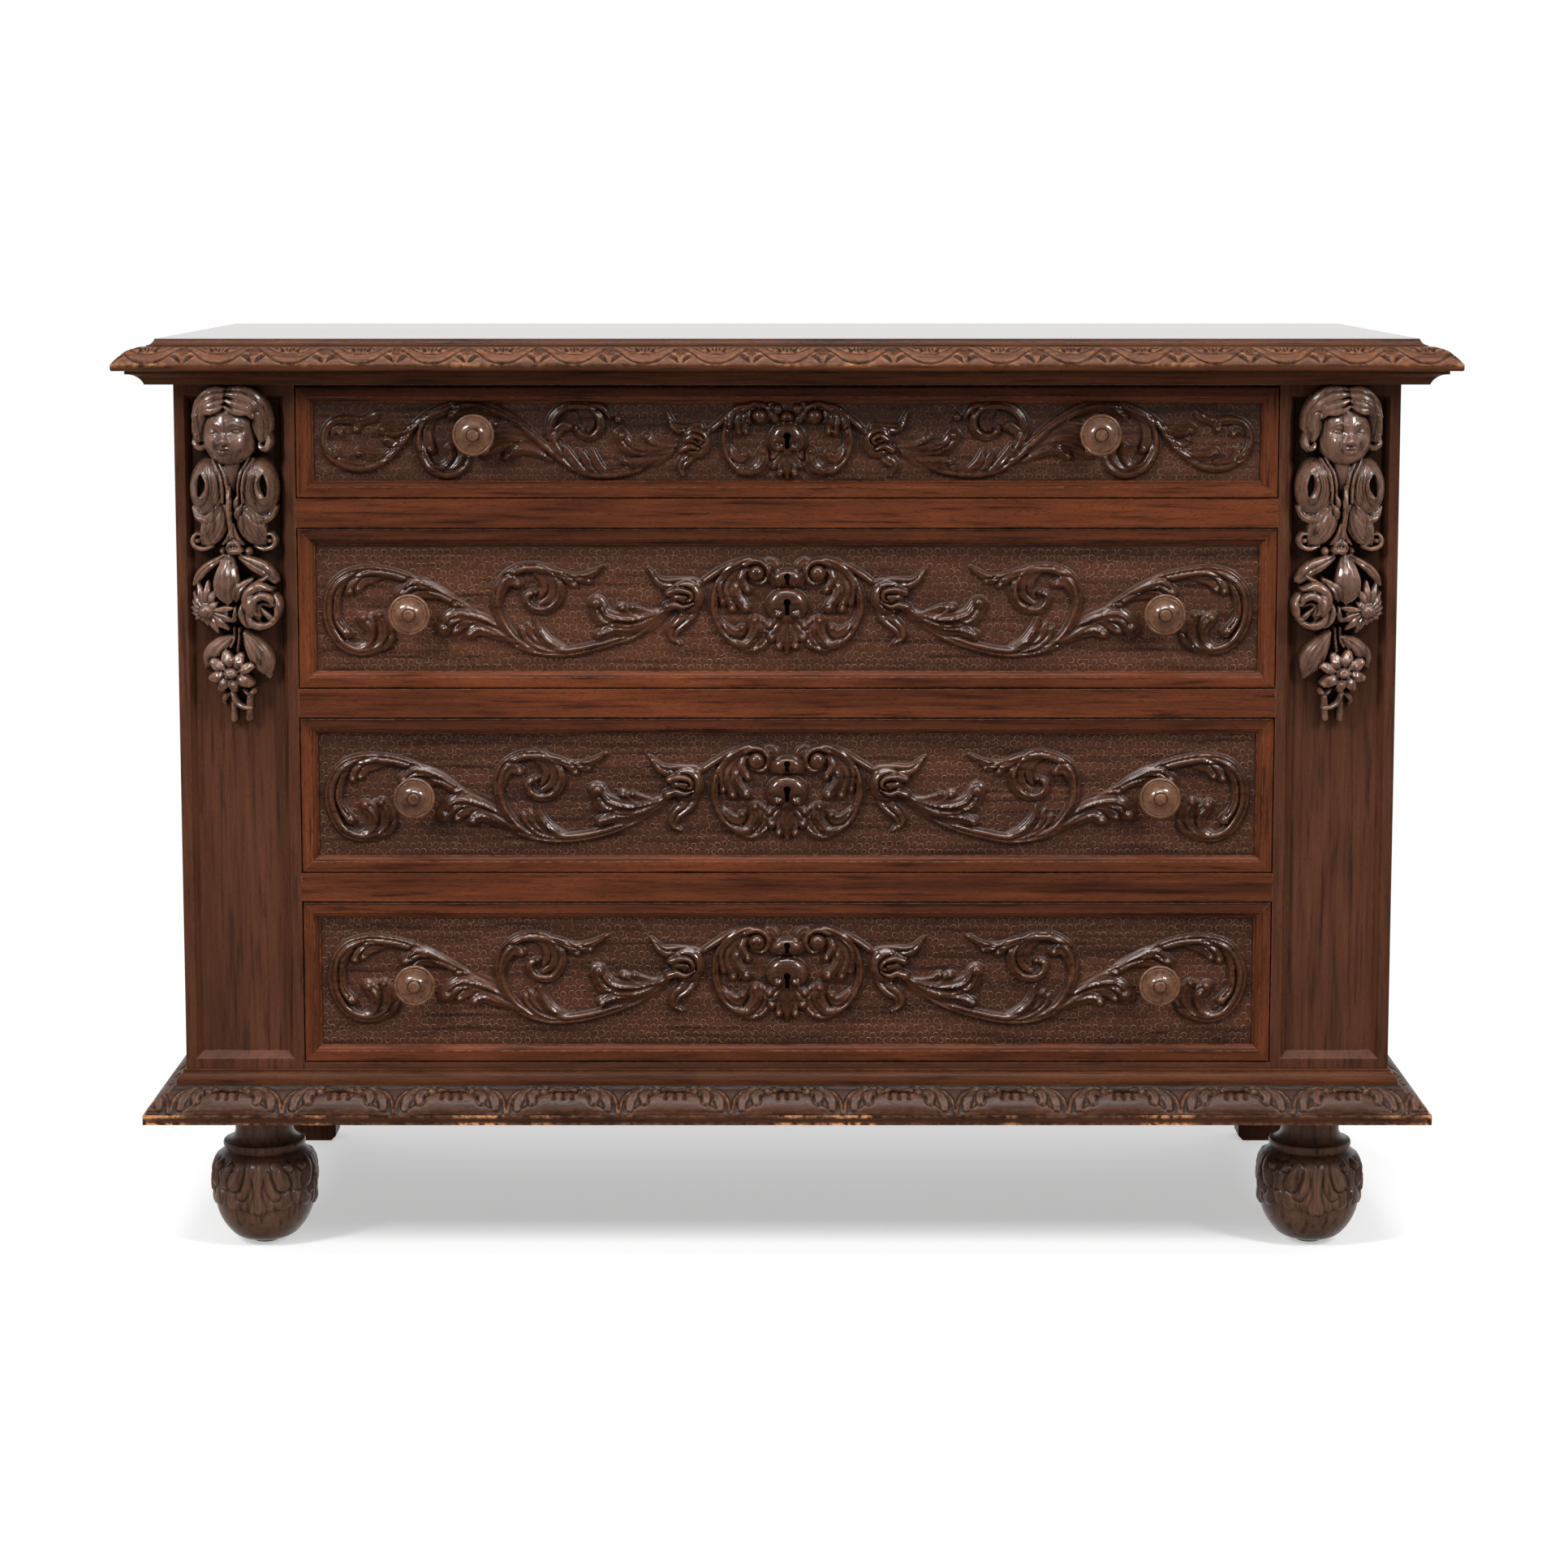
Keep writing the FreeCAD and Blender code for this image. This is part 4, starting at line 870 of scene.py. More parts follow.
def outwardOf(spots):    # unit normals of an outline that runs from the top outwards and down
    way = np.gradient(spots, axis=0)
    way /= np.hypot(way[:, 0], way[:, 1])[:, None]
    return np.column_stack([-way[:, 1], way[:, 0]])


def travelOf(spots):    # the distance along an outline
    return np.concatenate([[0], np.cumsum(np.hypot(*np.diff(spots, axis=0).T))])


def repeatField(period, length, columns, rows):    # one repeat of an ornament, down from its upper edge
    return {"across": np.linspace(-period / 2, period / 2, columns), "up": np.linspace(-length, 0, rows),
            "height": np.zeros((rows, columns))}


def repeated(field, along, down, layer):    # a layer of a repeating field; down counts from its upper edge
    across, up = field["across"], field["up"]
    period = across[-1] - across[0]
    column = (np.mod(along - across[0], period)) / (across[1] - across[0])
    row = np.clip((-down - up[0]) / (up[1] - up[0]), 0, len(up) - 1.001)
    c, r = column.astype(int), row.astype(int)
    c, dc, dr = np.minimum(c, len(across) - 2), column - c, row - r
    h = field[layer]
    return ((h[r, c] * (1 - dc) + h[r, c + 1] * dc) * (1 - dr)
            + (h[r + 1, c] * (1 - dc) + h[r + 1, c + 1] * dc) * dr)


def sweptRound(name, spots, relief, inner, back, edge):
    half, face = inner    # the half width and the face that an outline's reach counts from
    reach = spots[:, 0].max()
    sideCount = int((back - face + reach) / edge["sidePitch"])
    frontCount = int(2 * (half + reach) / edge["frontPitch"]) // 2 * 2
    side = np.linspace(1, 0, sideCount + 1)
    share = np.concatenate([side, np.linspace(-1, 1, frontCount + 1)[1:-1], side[::-1]])
    left = np.arange(len(share)) < len(side)
    right = np.arange(len(share)) >= len(share) - len(side)
    piece, column, row = gridPiece(name, len(share), len(spots))
    p, z = spots[row, 0], spots[row, 1]
    s, onLeft, onRight = share[column], left[column], right[column]
    onFront = ~(onLeft | onRight) | (s == 0) & (onLeft | onRight)
    away = np.where(onLeft, -1.0, np.where(onRight, 1.0, 0.0))
    depth = back - (face - p)
    x = np.where(away == 0, s * (half + p), away * (half + p))
    y = np.where(away == 0, face - p, face - p + s * depth)
    along = np.where(onFront, x, y - (face - reach))
    out = outwardOf(spots)[row]
    push = relief(along, row, onFront, "height")
    ahead = np.where(onFront, -1.0, 0.0)
    movePoints(piece, np.column_stack([x + away * out[:, 0] * push, y + ahead * out[:, 0] * push,
                                       z + out[:, 1] * push]) * mm)
    for layer in ("hollow", "crest"):
        mark(piece, layer, relief(along, row, onFront, layer))
    return piece, column, row


def capRow(piece, chosen):    # one flat face through the chosen points, in their order
    mesh = bmesh.new()
    mesh.from_mesh(piece.data)
    mesh.verts.ensure_lookup_table()
    mesh.faces.new([mesh.verts[index] for index in chosen])
    mesh.to_mesh(piece.data)
    mesh.free()


seam = 0.02    # points closer than this are one


def closeUp(piece, angle):    # seams merged, open ends filled, faces turned outwards
    pick(piece)
    bpy.ops.object.mode_set(mode="EDIT")
    bpy.ops.mesh.select_mode(type="VERT")
    bpy.ops.mesh.select_all(action="SELECT")
    bpy.ops.mesh.remove_doubles(threshold=seam * mm)
    bpy.ops.mesh.fill_holes(sides=0)
    bpy.ops.mesh.select_all(action="SELECT")
    bpy.ops.mesh.normals_make_consistent(inside=False)
    bpy.ops.object.mode_set(mode="OBJECT")
    bpy.ops.object.shade_smooth_by_angle(angle=math.radians(angle))


def gouge(field, points, widths, depth, ends=(0.4, 1.0, 0.5)):    # a hollow cut, deepest on its line
    part, edge, _, along = beside(field, *softLine(points, widths, 0.6), 1.0)
    patch, inside = field["height"][part], edge < 1
    hollow = -depth * eased(along, ends) * np.clip(1 - edge ** 2, 0, 1) ** 0.7
    patch[inside] = np.minimum(patch, hollow)[inside]


rubbing = {"waves": ((31, 0), (13.7, 2.1), (57, 0.7)), "least": 0.15, "from": 0.6, "most": 1.2, "corner": 9.0}


def chips(along):    # stretches where an arris is rubbed through
    waves = sum(np.sin(along / length + shift) for length, shift in rubbing["waves"])
    return rubbing["least"] + np.clip(waves - rubbing["from"], 0, rubbing["most"])


def tips(along, onFront, half):    # the two front corners, which are knocked and rubbed most
    return np.exp(-np.where(onFront, half - np.abs(along), along) / rubbing["corner"])


# top board, its edge cut with a garland of hollows
topEdge = {
    "overhang": 58.0, "flatSetBack": 41.5, "step": 7.0, "stepHollow": 1.4, "bead": 1.0, "bulge": 5.2,
    "nose": 7.0, "noseRound": 1.8, "swags": 19, "pitch": 1.35, "frontPitch": 1.06, "sidePitch": 2.0,
    "shade": (2.0, 0.6), "arris": (1.3, 2.6), "worn": (0.8, 2.0), "smooth": 38, "level": 0.99,
    # stepShade and paintedShade: painted shade on the step, at both ends of the ovolo and on the nose
    "stepShade": 0.45, "paintedShade": ((0, 0.35, 0.5, 0.85, 1.0), (0.4, 0.3, 0.0, 0.05, 0.4)),
}


def garland(period, length):    # one swag between two tufts; down the surface from the bead is minus up
    field = repeatField(period, length, 131, 61)
    half = period / 2
    for side in (-1, 1):
        def hollow(points, *how):
            gouge(field, [(side * x, -down) for x, down in points], *how)

        hollow(((half, 13.0), (28, 21.0), (18, 31.5), (8, 37.2), (0, 38.2)), (1.2, 1.5, 1.5, 1.3, 1.3), 1.7,
               (1.0, 1.0, 0.9, 0.8))
        hollow(((26, 9.0), (19, 17.5), (9, 23.5), (0, 25.0)), (1.0, 1.3, 1.2, 1.2), 1.3, (0.7, 1.0, 0.8))
        hollow(((19, 8.0), (13.5, 12.5)), (1.6, 2.7), 2.1)
        hollow(((11.5, 9.0), (7.5, 18.0), (10.5, 20.5)), (1.4, 2.7, 1.4), 2.3)
        hollow(((4.2, 9.5), (3.2, 18.0)), (1.0, 1.8), 1.9)
        for lean, down in ((1.4, 25.5), (4.0, 24.5), (6.6, 21.5), (8.8, 17.5)):
            hollow(((half - 0.25 * lean, 8.0), (half - lean, down)), (0.6, 1.35), 2.1)
        hollow(((half - 13.5, 27.0), (half - 8.0, 28.5), (half - 2.4, 36.5)), (1.0, 3.4, 1.1), 2.6,
               (0.5, 1.0, 0.4))
    gouge(field, ((0, -9.5), (0, -20.5)), (1.1, 2.0), 2.0)
    shaded(field, *topEdge["shade"])
    return field


def topPiece():
    low, high = (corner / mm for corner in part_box("top_board"))
    edge = topEdge
    flat = edge["overhang"] - edge["flatSetBack"]
    step = high.z - edge["step"]
    ovolo = (flat + edge["step"] + edge["bead"], step - edge["bead"])
    steps = [((flat + edge["step"], step), -edge["stepHollow"]), ((ovolo[0], step), 0), (ovolo, 0),
             ((edge["overhang"], low.z + edge["nose"]), edge["bulge"]),
             ((edge["overhang"], low.z + edge["noseRound"]), 0),
             ((edge["overhang"] - edge["noseRound"], low.z), 0.5), ((0.0, low.z), 0)]
    spots, owner = outlineFrom((flat, high.z), steps, edge["pitch"])
    keep = (owner != len(steps) - 1) | (np.arange(len(spots)) == len(spots) - 1)    # the soffit needs no rows
    spots, owner = spots[keep], owner[keep]
    onOvolo = owner == 3
    travel = travelOf(spots)
    travel -= travel[onOvolo][0] - edge["pitch"]
    period = 2 * high.x / edge["swags"]
    field = garland(period, travel[onOvolo][-1])
    nose = low.z + edge["nose"]
    share = np.where(onOvolo, travel / travel[onOvolo][-1], 1.0)
    # painted shade: darker on the step, towards both ends of the ovolo and on the nose below
    rowShade = np.where(owner < 3, edge["stepShade"], np.interp(share, *edge["paintedShade"]))
    near, fade = edge["arris"]
    rub = np.clip(near - np.abs(spots[:, 1] - nose) / fade, 0, 1)
    arris = np.where((owner == 3) | (owner == 4), rub, 0.0)
    chipped, knocked = edge["worn"]

    def relief(along, row, onFront, layer):
        wander = np.where(onFront, along, along + period / 2)    # a tuft stands on each corner
        worn = arris[row] * (chipped * chips(along) + knocked * tips(along, onFront, high.x))
        # wear on the crests, painted shade in the hollow layer
        addedMarks = {"crest": worn, "hollow": rowShade[row]}.get(layer, 0.0)
        return np.where(onOvolo[row], repeated(field, wander, travel[row], layer), 0.0) + addedMarks

    inner = (high.x - edge["overhang"], low.y + edge["overhang"])
    piece, column, row = sweptRound("carved_top", spots, relief, inner, high.y, edge)
    order = np.argsort(column, kind="stable")
    for level in (0, len(spots) - 1):
        capRow(piece, [int(index) for index in order if row[index] == level])
    closeUp(piece, edge["smooth"])
    return piece


# base moulding, its splay carved with pads between curled leaves
baseEdge = {
    "reach": 43.0, "upperReach": 10.0, "fillet": 11.0, "lip": 2.2, "bulge": 2.6, "tuck": 10.0,
    "unit": 126.0, "pitch": 1.4, "frontPitch": 1.2, "sidePitch": 1.7, "drawing": 0.283, "let": 1.6,
    # paintedShade: a painted shadow under the plinth, how much and how far
    "shade": (2.2, 0.9), "crest": 0.5, "arris": (1.2, 3.0), "worn": (2.8, 3.0), "paintedShade": (1.1, 6.0),
    "start": 3.0, "sideShift": 29.0, "flute": (2.0, 2.0), "deep": 133, "smooth": 40,
}


def padsAndLeaves(period, length):    # one unit: a padded panel with three gouges, and a leaf each side
    field = repeatField(period, length, 141, 51)
    scale, fall = baseEdge["drawing"], length / baseEdge["deep"]

    def at(*points):    # drawing points: from the unit's middle, and down from the upper edge
        return [(x * scale, -y * fall) for x, y in points]

    for side in (-1, 1):
        def leaf(points, widths, height, **how):
            widths = [width * scale for width in widths]
            carve(field, at(*[(side * x, y) for x, y in points]), widths, height, **how)

        leaf(((0, 80), (-60, 82), (-120, 102), (-165, 116)), (50, 44, 22, 6), 3.6, rise=(1, 1, 0.8, 0.5),
             gap=0, crown=4)
        leaf(((-30, 20), (-110, 14), (-170, 30), (-207, 70), (-219, 128)), (3, 7, 8, 8, 6), 3.4, gap=0.3)
        leaf(((-110, 22), (-152, 40), (-174, 70), (-180, 106)), (7, 17, 20, 15), 4.8, flutes=1, vein=0.45,
             rise=(0.5, 0.9, 1.0, 1.0), gap=0.8)
        leaf(((-82, 22), (-114, 36), (-126, 56), (-122, 80)), (6, 15, 19, 15), 5.2, flutes=1, vein=0.45,
             rise=(0.5, 0.9, 1.0, 1.0), gap=0.8)
        dome(field, at((side * -80, 34))[0], (14 * scale, 14 * fall), 5.0, gap=0.5)
        leaf(((0, 26), (-40, 28), (-72, 34)), (5, 5, 6), 4.2, gap=0.4)
        leaf(((0, 127), (-90, 125), (-200, 128)), (3, 4, 3), 2.2, gap=0.5)
    half, depth = baseEdge["flute"]
    for x in (-36, 0, 38):
        (middle, top), (_, foot) = at((x, 28), (x, 74))
        dip = np.sqrt(np.clip(1 - ((field["across"][None, :] - middle) / half) ** 2, 0, 1))
        band = (field["up"][:, None] < top) & (field["up"][:, None] > foot)
        field["height"] = field["height"] - depth * dip * band
    field["height"] = softened(field["height"])
    shaded(field, *baseEdge["shade"])
    return field


def basePiece():
    low, high = (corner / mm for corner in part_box("base_moulding"))
    edge = baseEdge
    start, fillet = (edge["upperReach"], high.z), low.z + edge["fillet"]
    steps = [((edge["reach"] - edge["lip"], fillet), edge["bulge"]), ((edge["reach"], fillet), 0),
             ((edge["reach"], low.z), 0), ((-edge["tuck"], low.z), 0), ((-edge["tuck"], high.z), 0),
             (start, 0)]
    spots, owner = outlineFrom(start, steps, edge["pitch"])
    corners = np.append(np.diff(owner) > 0, True)
    keep = (owner < 3) | corners    # hidden faces need no rows
    spots, owner = spots[keep], owner[keep]
    splay = owner == 0
    travel = travelOf(spots)
    field = padsAndLeaves(edge["unit"], travel[splay][-1])
    fromEdge = np.minimum(spots[:, 1] - low.z, fillet - spots[:, 1])
    near, fade = edge["arris"]
    arris = np.where((owner == 1) | (owner == 2), np.clip(near - fromEdge / fade, 0, 1), 0.0)
    chipped, knocked = edge["worn"]
    much, far = edge["paintedShade"]    # painted shadow under the plinth

    def relief(along, row, onFront, layer):
        wander = np.where(onFront, along, along + edge["unit"] / 2 - edge["reach"] + edge["sideShift"])
        rise = repeated(field, wander, travel[row], layer) * (edge["crest"] if layer == "crest" else 1.0)
        rise = rise - (edge["let"] if layer == "height" else 0.0)
        tip = tips(along, onFront, high.x)
        addedMarks = arris[row] * (chipped * chips(along) + knocked * tip) + tip if layer == "crest" else 0.0
        # painted shadow along the top of the splay, under the plinth
        corner = much * np.exp(-travel[row] / far) if layer == "hollow" else 0.0
        return np.where(splay[row], rise * np.clip(travel[row] / edge["start"], 0, 1) + corner, addedMarks)

    inner = (high.x - edge["reach"], low.y + edge["reach"])
    piece, _, _ = sweptRound("carved_base", spots, relief, inner, high.y, edge)
    closeUp(piece, edge["smooth"])
    return piece


topBoard = topPiece()
dress(topBoard, walnut("carved top edge", "walnut_edge", carved=True))
topBoard.data.materials.append(walnut("polished top", "walnut_top"))
for face in topBoard.data.polygons:
    if face.normal.z > topEdge["level"]:
        face.material_index = 1
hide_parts("top_board")
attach(topBoard, "carcase")
base = basePiece()
dress(base, walnut("carved base", "walnut_base", carved=True))
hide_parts("base_moulding")
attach(base, "carcase")
print("mouldings carved:", len(topBoard.data.polygons), "faces in the top,", len(base.data.polygons),
      "in the base")


# turned pieces: an outline rolled round its axis, and for the front feet carved leaves on the belly
smoothTurned = 35    # degrees


def rolled(name, spots, columns, place, push=None):    # spots: radius and distance along the axis
    piece, column, row = gridPiece(name, columns + 1, len(spots))
    turn = column * 2 * math.pi / columns
    radius, along = spots[row, 0], spots[row, 1]
    if push is not None:
        radius = radius + push(turn, row, "height")
        for layer in ("hollow", "crest"):
            mark(piece, layer, push(turn, row, layer))
    movePoints(piece, place(radius * np.cos(turn), radius * np.sin(turn), along))
    closeUp(piece, smoothTurned)
    return piece


knob = {
    "reach": 36.0, "baseRadius": 12.0, "baseHeight": 3.5, "neck": 8.0, "throat": (11.0, 16.0),
    "rim": (23.0, 24.0), "rimThickness": 3.6, "rimRound": 1.2, "face": 20.5, "faceBulge": 4.6,
    "button": 6.5, "buttonHeight": 3.0, "buttonRound": 1.8, "groove": 1.5, "sunk": 6.0, "pitch": 1.3,
    "turns": 56,
}


def knobOutline():
    k = knob
    rim, level = k["rim"]
    face = level + k["rimThickness"]
    crown = face + k["faceBulge"]
    ring = k["button"] + k["groove"]
    steps = [((k["baseRadius"], -k["sunk"]), 0), ((k["baseRadius"], k["baseHeight"] - 1), 0),
             ((k["baseRadius"] - 1.5, k["baseHeight"]), 0.4), ((k["neck"], k["baseHeight"] + 3), -0.8),
             (k["throat"], -1.0), ((rim - k["rimRound"], level - 0.6), 2.2), ((rim, level + 0.6), 0.4),
             ((rim, face - k["rimRound"]), 0.2), ((rim - k["rimRound"], face), 0.4), ((k["face"], face), 0),
             ((k["face"] - 0.8, face - 0.9), 0), ((k["face"] - 1.6, face + 0.2), 0),
             ((ring, crown), 1.3), ((k["button"] + 0.4, crown - k["groove"]), 0),
             ((k["button"], crown + k["buttonHeight"] - k["buttonRound"]), 0.1),
             ((k["button"] - k["buttonRound"], crown + k["buttonHeight"] - 0.4), 0.5),
             ((0.0, crown + k["buttonHeight"]), 0.3)]
    return outlineFrom((0.0, -k["sunk"]), steps, k["pitch"])[0]


def knobPair(number):
    low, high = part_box(f"drawer_{number}_knobs")
    rim = knob["rim"][0] * mm
    seat = low.y + knob["reach"] * mm    # the field's face behind the knob
    made = []
    for x in (low.x + rim, high.x - rim):
        def place(across, up, along, x=x):
            return np.column_stack([x + across * mm, seat - along * mm, (low.z + high.z) / 2 + up * mm])

        made.append(rolled("knob", knobOutline(), knob["turns"], place))
    pick(made[0])
    made[1].select_set(True)
    bpy.ops.object.join()
    return named(f"drawer_{number}_turned_knobs")


frontFoot = {
    "glide": 5.0, "turn": (40.0, 9.0), "ball": (57.0, 46.0, 5.0), "belly": 25.0,
    "shoulder": (50.0, 21.0, 2.5), "collar": (46.5, 6.5), "groove": (2.5, 3.5), "neck": 33.0,
    "flare": (12.0, 3.0), "sole": 21.0, "pitch": 1.4, "turns": 256, "band": 62.0, "start": 2.0,
    "shade": (2.4, 1.5),
}


def footLeaves(quarter, length):    # a quarter of the belly: a tapered strap between drooping leaves
    field = repeatField(quarter, length, 121, 81)
    for side in (-1, 1):
        def leaf(points, widths, height, **how):
            carve(field, [(side * x, -y) for x, y in points], widths, height, **how)

        leaf(((-28, 22), (-29, 36), (-28, 45)), (12, 15, 13), 2.6, rise=(0.3, 0.9, 1.1), crown=6)
        leaf(((-8, 32), (-11, 44), (-13, 53)), (3.2, 4.8, 5.4), 4.0, rise=(0.5, 0.9, 1.1), flutes=1, vein=0.4)
        leaf(((-44.7, 8), (-44.7, 26), (-44.7, 47)), (5, 8, 5), 4.6, rise=(0.4, 1.0, 1.1), flutes=2, vein=0.4)
        leaf(((-11.5, 2), (-12.5, 16), (-15.5, 32), (-19.5, 41)), (3.0, 5.0, 6.6, 5.8), 5.6, flutes=2,
             vein=0.42, rise=(0.5, 0.8, 1.0, 1.1), gap=0.8)
        leaf(((-33, 3), (-38.5, 15), (-41, 30)), (4.0, 6.4, 6.4), 6.0, rise=(0.5, 0.9, 1.1), flutes=1,
             vein=0.4, gap=0.8)
        leaf(((-21, 2), (-24.5, 15), (-28.5, 28)), (4.6, 8.2, 8.6), 6.8, rise=(0.5, 0.9, 1.1), flutes=2,
             vein=0.38, gap=0.8)
        dome(field, (side * -36, -9), (5.6, 6.2), 6.8, crown=2.4, gap=0.9)
    carve(field, [(0, -1), (0, -20), (0, -38), (0, -56)], (11.5, 6.6, 4.6, 9.0), 3.6,
          rise=(0.7, 0.9, 1.0, 1.2), flutes=3, vein=0.4, gap=0.8, crown=6)
    field["height"] = softened(field["height"])
    shaded(field, *frontFoot["shade"])
    return field


def footPiece(node):
    low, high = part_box(node)
    centre = ((low.x + high.x) / 2, (low.y + high.y) / 2)
    f = frontFoot
    ballTop = f["glide"] + f["turn"][1] + f["ball"][1]
    bellyTop = ballTop + f["belly"]
    shoulder = bellyTop + f["shoulder"][1]
    deep, tall = f["groove"]
    collar = shoulder + 2 * tall
    collarTop = collar + f["collar"][1]
    neck = collarTop + f["flare"][0]
    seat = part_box("base_moulding")[0].z / mm
    radius = f["ball"][0]
    steps = [((f["neck"], seat), 0), ((f["neck"], neck), 0),
             ((f["collar"][0] - 1, collarTop), -f["flare"][1]),
             ((f["collar"][0], collarTop - 1), 0.3), ((f["collar"][0], collar + 0.8), 0.6),
             ((f["collar"][0] - deep, shoulder + tall), 0), ((f["shoulder"][0], shoulder), 0),
             ((radius, bellyTop), f["shoulder"][2]), ((radius, ballTop), 0.4),
             ((f["turn"][0], f["glide"] + f["turn"][1]), f["ball"][2]), ((f["sole"], f["glide"]), 2.4),
             ((0.0, f["glide"]), 0)]
    carvedFrom = 7    # the first step of the belly
    spots, owner = outlineFrom((0.0, seat), steps, f["pitch"])
    keep = (owner > 0) & (owner < len(steps) - 1) | (np.arange(len(spots)) == 0)
    keep[-1] = True
    spots, owner = np.insert(spots[keep], 1, (f["neck"], seat), 0), np.insert(owner[keep], 1, 1)
    belly = owner >= carvedFrom
    travel = travelOf(spots)
    travel -= travel[belly][0]
    quarter = radius * math.pi / 2
    field = footLeaves(quarter, f["band"])

    def push(turn, row, layer):
        along = np.mod(turn + math.pi / 2, math.pi / 2) * radius    # a strap faces the front
        rise = repeated(field, along, travel[row], layer) * np.clip(travel[row] / f["start"], 0, 1)
        return np.where(belly[row] & (travel[row] < f["band"]), rise, 0.0)

    def place(across, deep, along):
        return np.column_stack([centre[0] + across * mm, centre[1] + deep * mm, along * mm])

    return rolled(f"{node}_carved", spots, f["turns"], place, push)


knobFinish = walnut("turned knob", "walnut_knob", grain="y")
for number in (1, 2, 3, 4):
    pair = knobPair(number)
    dress(pair, knobFinish)
    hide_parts(f"drawer_{number}_knobs")
    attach(pair, f"drawer_{number}")
footFinish = walnut("carved foot", "walnut_foot", grain="z", carved=True)
for node in ("left_front_foot", "right_front_foot"):
    foot = footPiece(node)
    dress(foot, footFinish)
    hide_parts(node)
    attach(foot, "carcase")
print("knobs and front feet turned:", len(foot.data.polygons), "faces in a foot")


# applied carvings on the posts: a child's head on a leafy bust, over a drop of leaves and flowers
figure = {
    "half": 53.0, "low": 612.0, "high": 995.0, "pitch": 0.68, "sunk": 0.8, "clip": 0.5, "shade": (2.2, 2.0),
    "smooth": 55, "unit": 0.131, "middle": 450.0, "crown": (85.0, 991.0),    # crown: line and level
}


def figureTools(field):    # tools that take drawing points; heights count from the post's sunk panel
    unit, (first, level) = figure["unit"], figure["crown"]
    across, up = np.meshgrid(field["across"], field["up"])
    height = field["height"]

    def spot(x, y):
        return (x - figure["middle"]) * unit, level - (y - first) * unit

    def along(points, widths):
        line = softLine([spot(*point) for point in points], [width * unit for width in widths], 0.7)
        return beside(field, *line, 1.6)

    def fromMiddle(centre, radii):    # 1 on the oval
        x, z = spot(*centre)
        return np.hypot((across - x) / (radii[0] * unit), (up - z) / (radii[1] * unit))

    def over(points, widths, heights, thick, flutes=0, vein=1.2, crown=2.2, moat=2.0, midrib=0.0):
        part, edge, aside, share = along(points, widths)    # a form laid over what is there
        levels, _ = softLine(list(enumerate(heights)), (1,), 0.05)
        lift = np.interp(share * (len(heights) - 1), levels[:, 0], levels[:, 1])
        top = lift - thick * (1 - bossed(edge, crown))
        if flutes:
            top = top - vein * fluted(aside, flutes)
        if midrib:
            top = top - midrib * veined(aside, 0.16)
        patch, inside = height[part], edge < 1
        patch[...] = np.where(patch > 0, np.maximum(patch - moat * trench(edge, 0.35, 1), 0), patch)
        patch[inside] = np.maximum(patch[inside], top[inside])

    def cut(points, widths, depth, ends=(0.5, 1.0, 0.5)):    # a hollow cut into what is there
        part, edge, _, share = along(points, widths)
        height[part] -= depth * eased(share, ends) * np.clip(1 - edge ** 2, 0, 1)

    def ridge(points, widths, rise, ends=(0.5, 1.0, 0.5)):
        cut(points, widths, -rise, ends)

    def egg(centre, radii, base, rise, crown=2.0, blend=0.0):
        far = fromMiddle(centre, radii)
        top, inside = base + rise * bossed(far, crown), far < 1
        if blend:
            mix = np.clip(0.5 + (top - height) / (2 * blend), 0, 1)
            top = height + (top - height) * mix + blend * mix * (1 - mix)
        else:
            top = np.maximum(height, top)
        height[inside] = top[inside]

    def swell(centre, radii, rise):    # a soft rise, or a soft hollow where rise is negative
        height[...] += rise * np.exp(-fromMiddle(centre, radii) ** 2) * (height > 0)

    return over, cut, ridge, egg, swell


def ray(centre, turn, *reaches):    # points outwards from the heart of a flower
    c, s = math.cos(math.radians(turn)), -math.sin(math.radians(turn))
    return [(centre[0] + reach * c, centre[1] + reach * s) for reach in reaches]


def mirrored(middle, side):    # for drawing points that count from a middle line to one side
    return lambda *points: [(middle + side * x, y) for x, y in points]


def carveTail(over, egg):
    over(((416, 2672), (412, 2800), (408, 2920)), (22, 26, 30), (20, 18, 15), 4, flutes=2, vein=1.0)
    over(((545, 2700), (540, 2800), (534, 2916)), (22, 26, 28), (19, 18, 15), 4, flutes=2, vein=1.0)
    over(((398, 2690), (352, 2712), (322, 2760), (338, 2792)), (20, 26, 24, 14), (20, 18, 15, 11), 4,
         midrib=1.0)
    over(((404, 2672), (432, 2760), (485, 2808), (552, 2826)), (18, 24, 26, 20), (24, 23, 21, 18), 5,
         flutes=2, vein=0.9)
    egg((574, 2684), (32, 34), 6, 17)
    over(((498, 2650), (520, 2690), (545, 2700)), (14, 15, 14), (20, 20, 19), 4)


def carveLowerFlower(over, cut, egg):
    over(((430, 2130), (428, 2230), (395, 2300)), (14, 13, 12), (18, 20, 22), 5)
    over(((474, 2140), (468, 2240), (455, 2330)), (14, 14, 12), (20, 21, 23), 5)
    over(((404, 2215), (320, 2270), (236, 2360), (172, 2478)), (24, 66, 80, 16), (19, 23, 20, 10), 8,
         flutes=3, vein=1.5)
    over(((520, 2180), (596, 2290), (664, 2410), (716, 2566)), (28, 82, 98, 16), (21, 26, 23, 12), 9,
         flutes=4, vein=1.6)
    for turn, reach, wide in ((18, 172, 48), (62, 160, 52), (106, 164, 54), (150, 178, 52), (194, 172, 50),
                              (236, 156, 48), (280, 142, 46), (328, 176, 52)):
        over(ray((406, 2514), turn, 46, 0.66 * reach, reach), (22, wide, wide * 0.72), (27, 32, 27), 6,
             flutes=2, vein=0.9, moat=3)
    egg((404, 2512), (64, 46), 22, 14, crown=3.2)
    cut(((352, 2512), (404, 2500), (456, 2512)), (10, 20, 10), 1.0)


